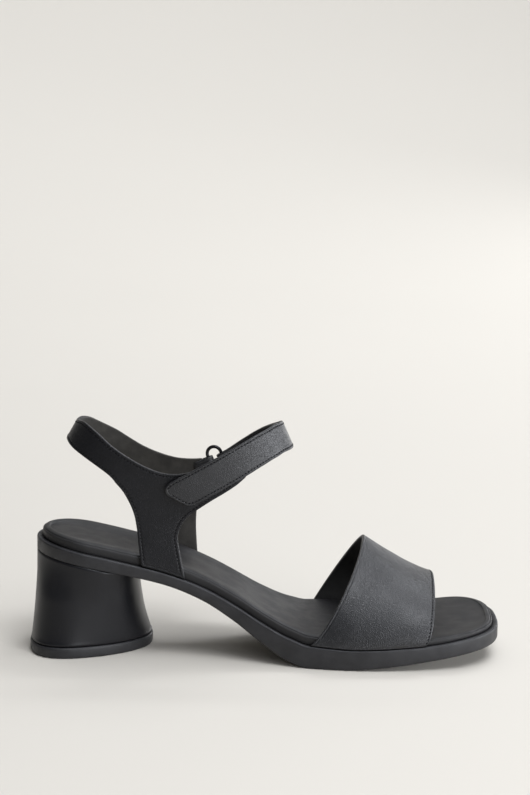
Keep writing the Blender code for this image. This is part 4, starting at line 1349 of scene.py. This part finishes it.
# The floor: its colour and its shade, then in metres its front end, where it starts to rise, the radius of
# its curve, the height it ends at and half its width
FLOOR_COLOUR = (0.645, 0.614, 0.560)
FLOOR_SHADE = 0.985
FLOOR_FRONT = -5.0
FLOOR_RISE_START = 1.3
FLOOR_RADIUS = 3.2
FLOOR_TOP = 4.2
FLOOR_HALF_WIDTH = 6.0

# Light
WORLD_COLOUR = (1.0, 0.985, 0.96, 1)
WORLD_STRENGTH = 0.13
MIDDLE = (0.09, 0.0, 0.04)
LIGHT_COLOUR = (0.93, 0.955, 1.0)

# Softboxes: name, place, target, size and power in watts
SOFTBOXES = (
    ("key_softbox", (0.51, -0.73, 1.40), MIDDLE, (0.9, 0.8), 15.0),
    ("top_softbox", (0.45, -0.05, 1.90), MIDDLE, (1.7, 1.8), 14.0),
    ("high_back_softbox", (0.79, 0.93, 1.54), MIDDLE, (0.8, 0.6), 8.0),
    ("low_back_softbox", (1.07, 1.70, 0.39), MIDDLE, (0.7, 0.6), 4.0),
    ("side_softbox", (2.00, -0.35, 0.33), MIDDLE, (1.0, 0.65), 24.0),
    ("right_softbox", (2.00, 0.95, 0.36), MIDDLE, (0.8, 0.6), 8.0),
    ("front_softbox", (1.10, -1.42, 0.31), MIDDLE, (1.0, 0.6), 14.0),
    ("backdrop_softbox", (-0.20, 1.42, 2.15), (-0.2, 3.0, 0.6), (4.0, 1.0), 66.0),
)


def make_floor():
    """A pale floor that curves up far behind the sandal."""
    mesh = bpy.data.meshes.new("studio_floor")
    line = [(FLOOR_FRONT, 0.0), (FLOOR_RISE_START, 0.0)]
    for angle in np.linspace(0, math.pi / 2, 61)[1:]:
        line.append((FLOOR_RISE_START + FLOOR_RADIUS * math.sin(angle), FLOOR_RADIUS * (1 - math.cos(angle))))
    line.append((FLOOR_RISE_START + FLOOR_RADIUS, FLOOR_TOP))
    verts = [(x, y, z) for y, z in line for x in (-FLOOR_HALF_WIDTH, FLOOR_HALF_WIDTH)]
    faces = [(2 * i, 2 * i + 1, 2 * i + 3, 2 * i + 2) for i in range(len(line) - 1)]
    mesh.from_pydata(verts, [], faces)
    mesh.shade_smooth()
    look = Look("studio_paper", FLOOR_COLOUR, 0.9, specular=0.1)
    shade = tuple(value * FLOOR_SHADE for value in FLOOR_COLOUR)
    look.tone(look.noise(3, 2), shade, FLOOR_COLOUR)
    mesh.materials.append(look.done())
    floor = bpy.data.objects.new("studio_floor", mesh)
    bpy.context.scene.collection.objects.link(floor)


def add_light(name, place, target, size, power):
    data = bpy.data.lights.new(name, "AREA")
    data.shape = "RECTANGLE"
    data.size, data.size_y = size
    data.energy = power
    data.color = LIGHT_COLOUR
    light = bpy.data.objects.new(name, data)
    bpy.context.scene.collection.objects.link(light)
    light.location = place
    light.rotation_euler = (Vector(target) - Vector(place)).to_track_quat("-Z", "Y").to_euler()


def make_lights():
    world = bpy.data.worlds.new("studio_world")
    world.use_nodes = True
    background = world.node_tree.nodes["Background"]
    background.inputs["Color"].default_value = WORLD_COLOUR
    background.inputs["Strength"].default_value = WORLD_STRENGTH
    bpy.context.scene.world = world
    for name, place, target, size, power in SOFTBOXES:
        add_light(name, place, target, size, power)


# The photo's camera. Its pitch is in radians, and its focal length in pixels of a picture this high.
CAMERA_PLACE = (0.0886, -1.15, 0.336)
CAMERA_PITCH = 0.1751946
CAMERA_ROLL = math.radians(1.0)
CAMERA_FOCUS_PIXELS = 2262.98
IMAGE_HEIGHT = 795
SENSOR = 36.0


def make_camera():
    data = bpy.data.cameras.new("photo_camera")
    data.sensor_width = SENSOR
    data.lens = SENSOR * CAMERA_FOCUS_PIXELS / IMAGE_HEIGHT
    camera = bpy.data.objects.new("photo_camera", data)
    bpy.context.scene.collection.objects.link(camera)
    forward = Vector((0, math.cos(CAMERA_PITCH), -math.sin(CAMERA_PITCH)))
    right = Vector((1, 0, 0))
    up = right.cross(forward)
    rolled_right = right * math.cos(CAMERA_ROLL) + up * math.sin(CAMERA_ROLL)
    rolled_up = up * math.cos(CAMERA_ROLL) - right * math.sin(CAMERA_ROLL)
    turn = Matrix((rolled_right, rolled_up, -forward)).transposed().to_4x4()
    camera.matrix_world = Matrix.Translation(CAMERA_PLACE) @ turn
    bpy.context.scene.camera = camera


bpy.context.scene.view_settings.view_transform = "Standard"

make_camera()
make_lights()
make_floor()
make_outsole()
make_footbed()
make_heel()
make_lift()
make_vamp()
make_quarter()
make_strap()
make_keeper()
make_ring()
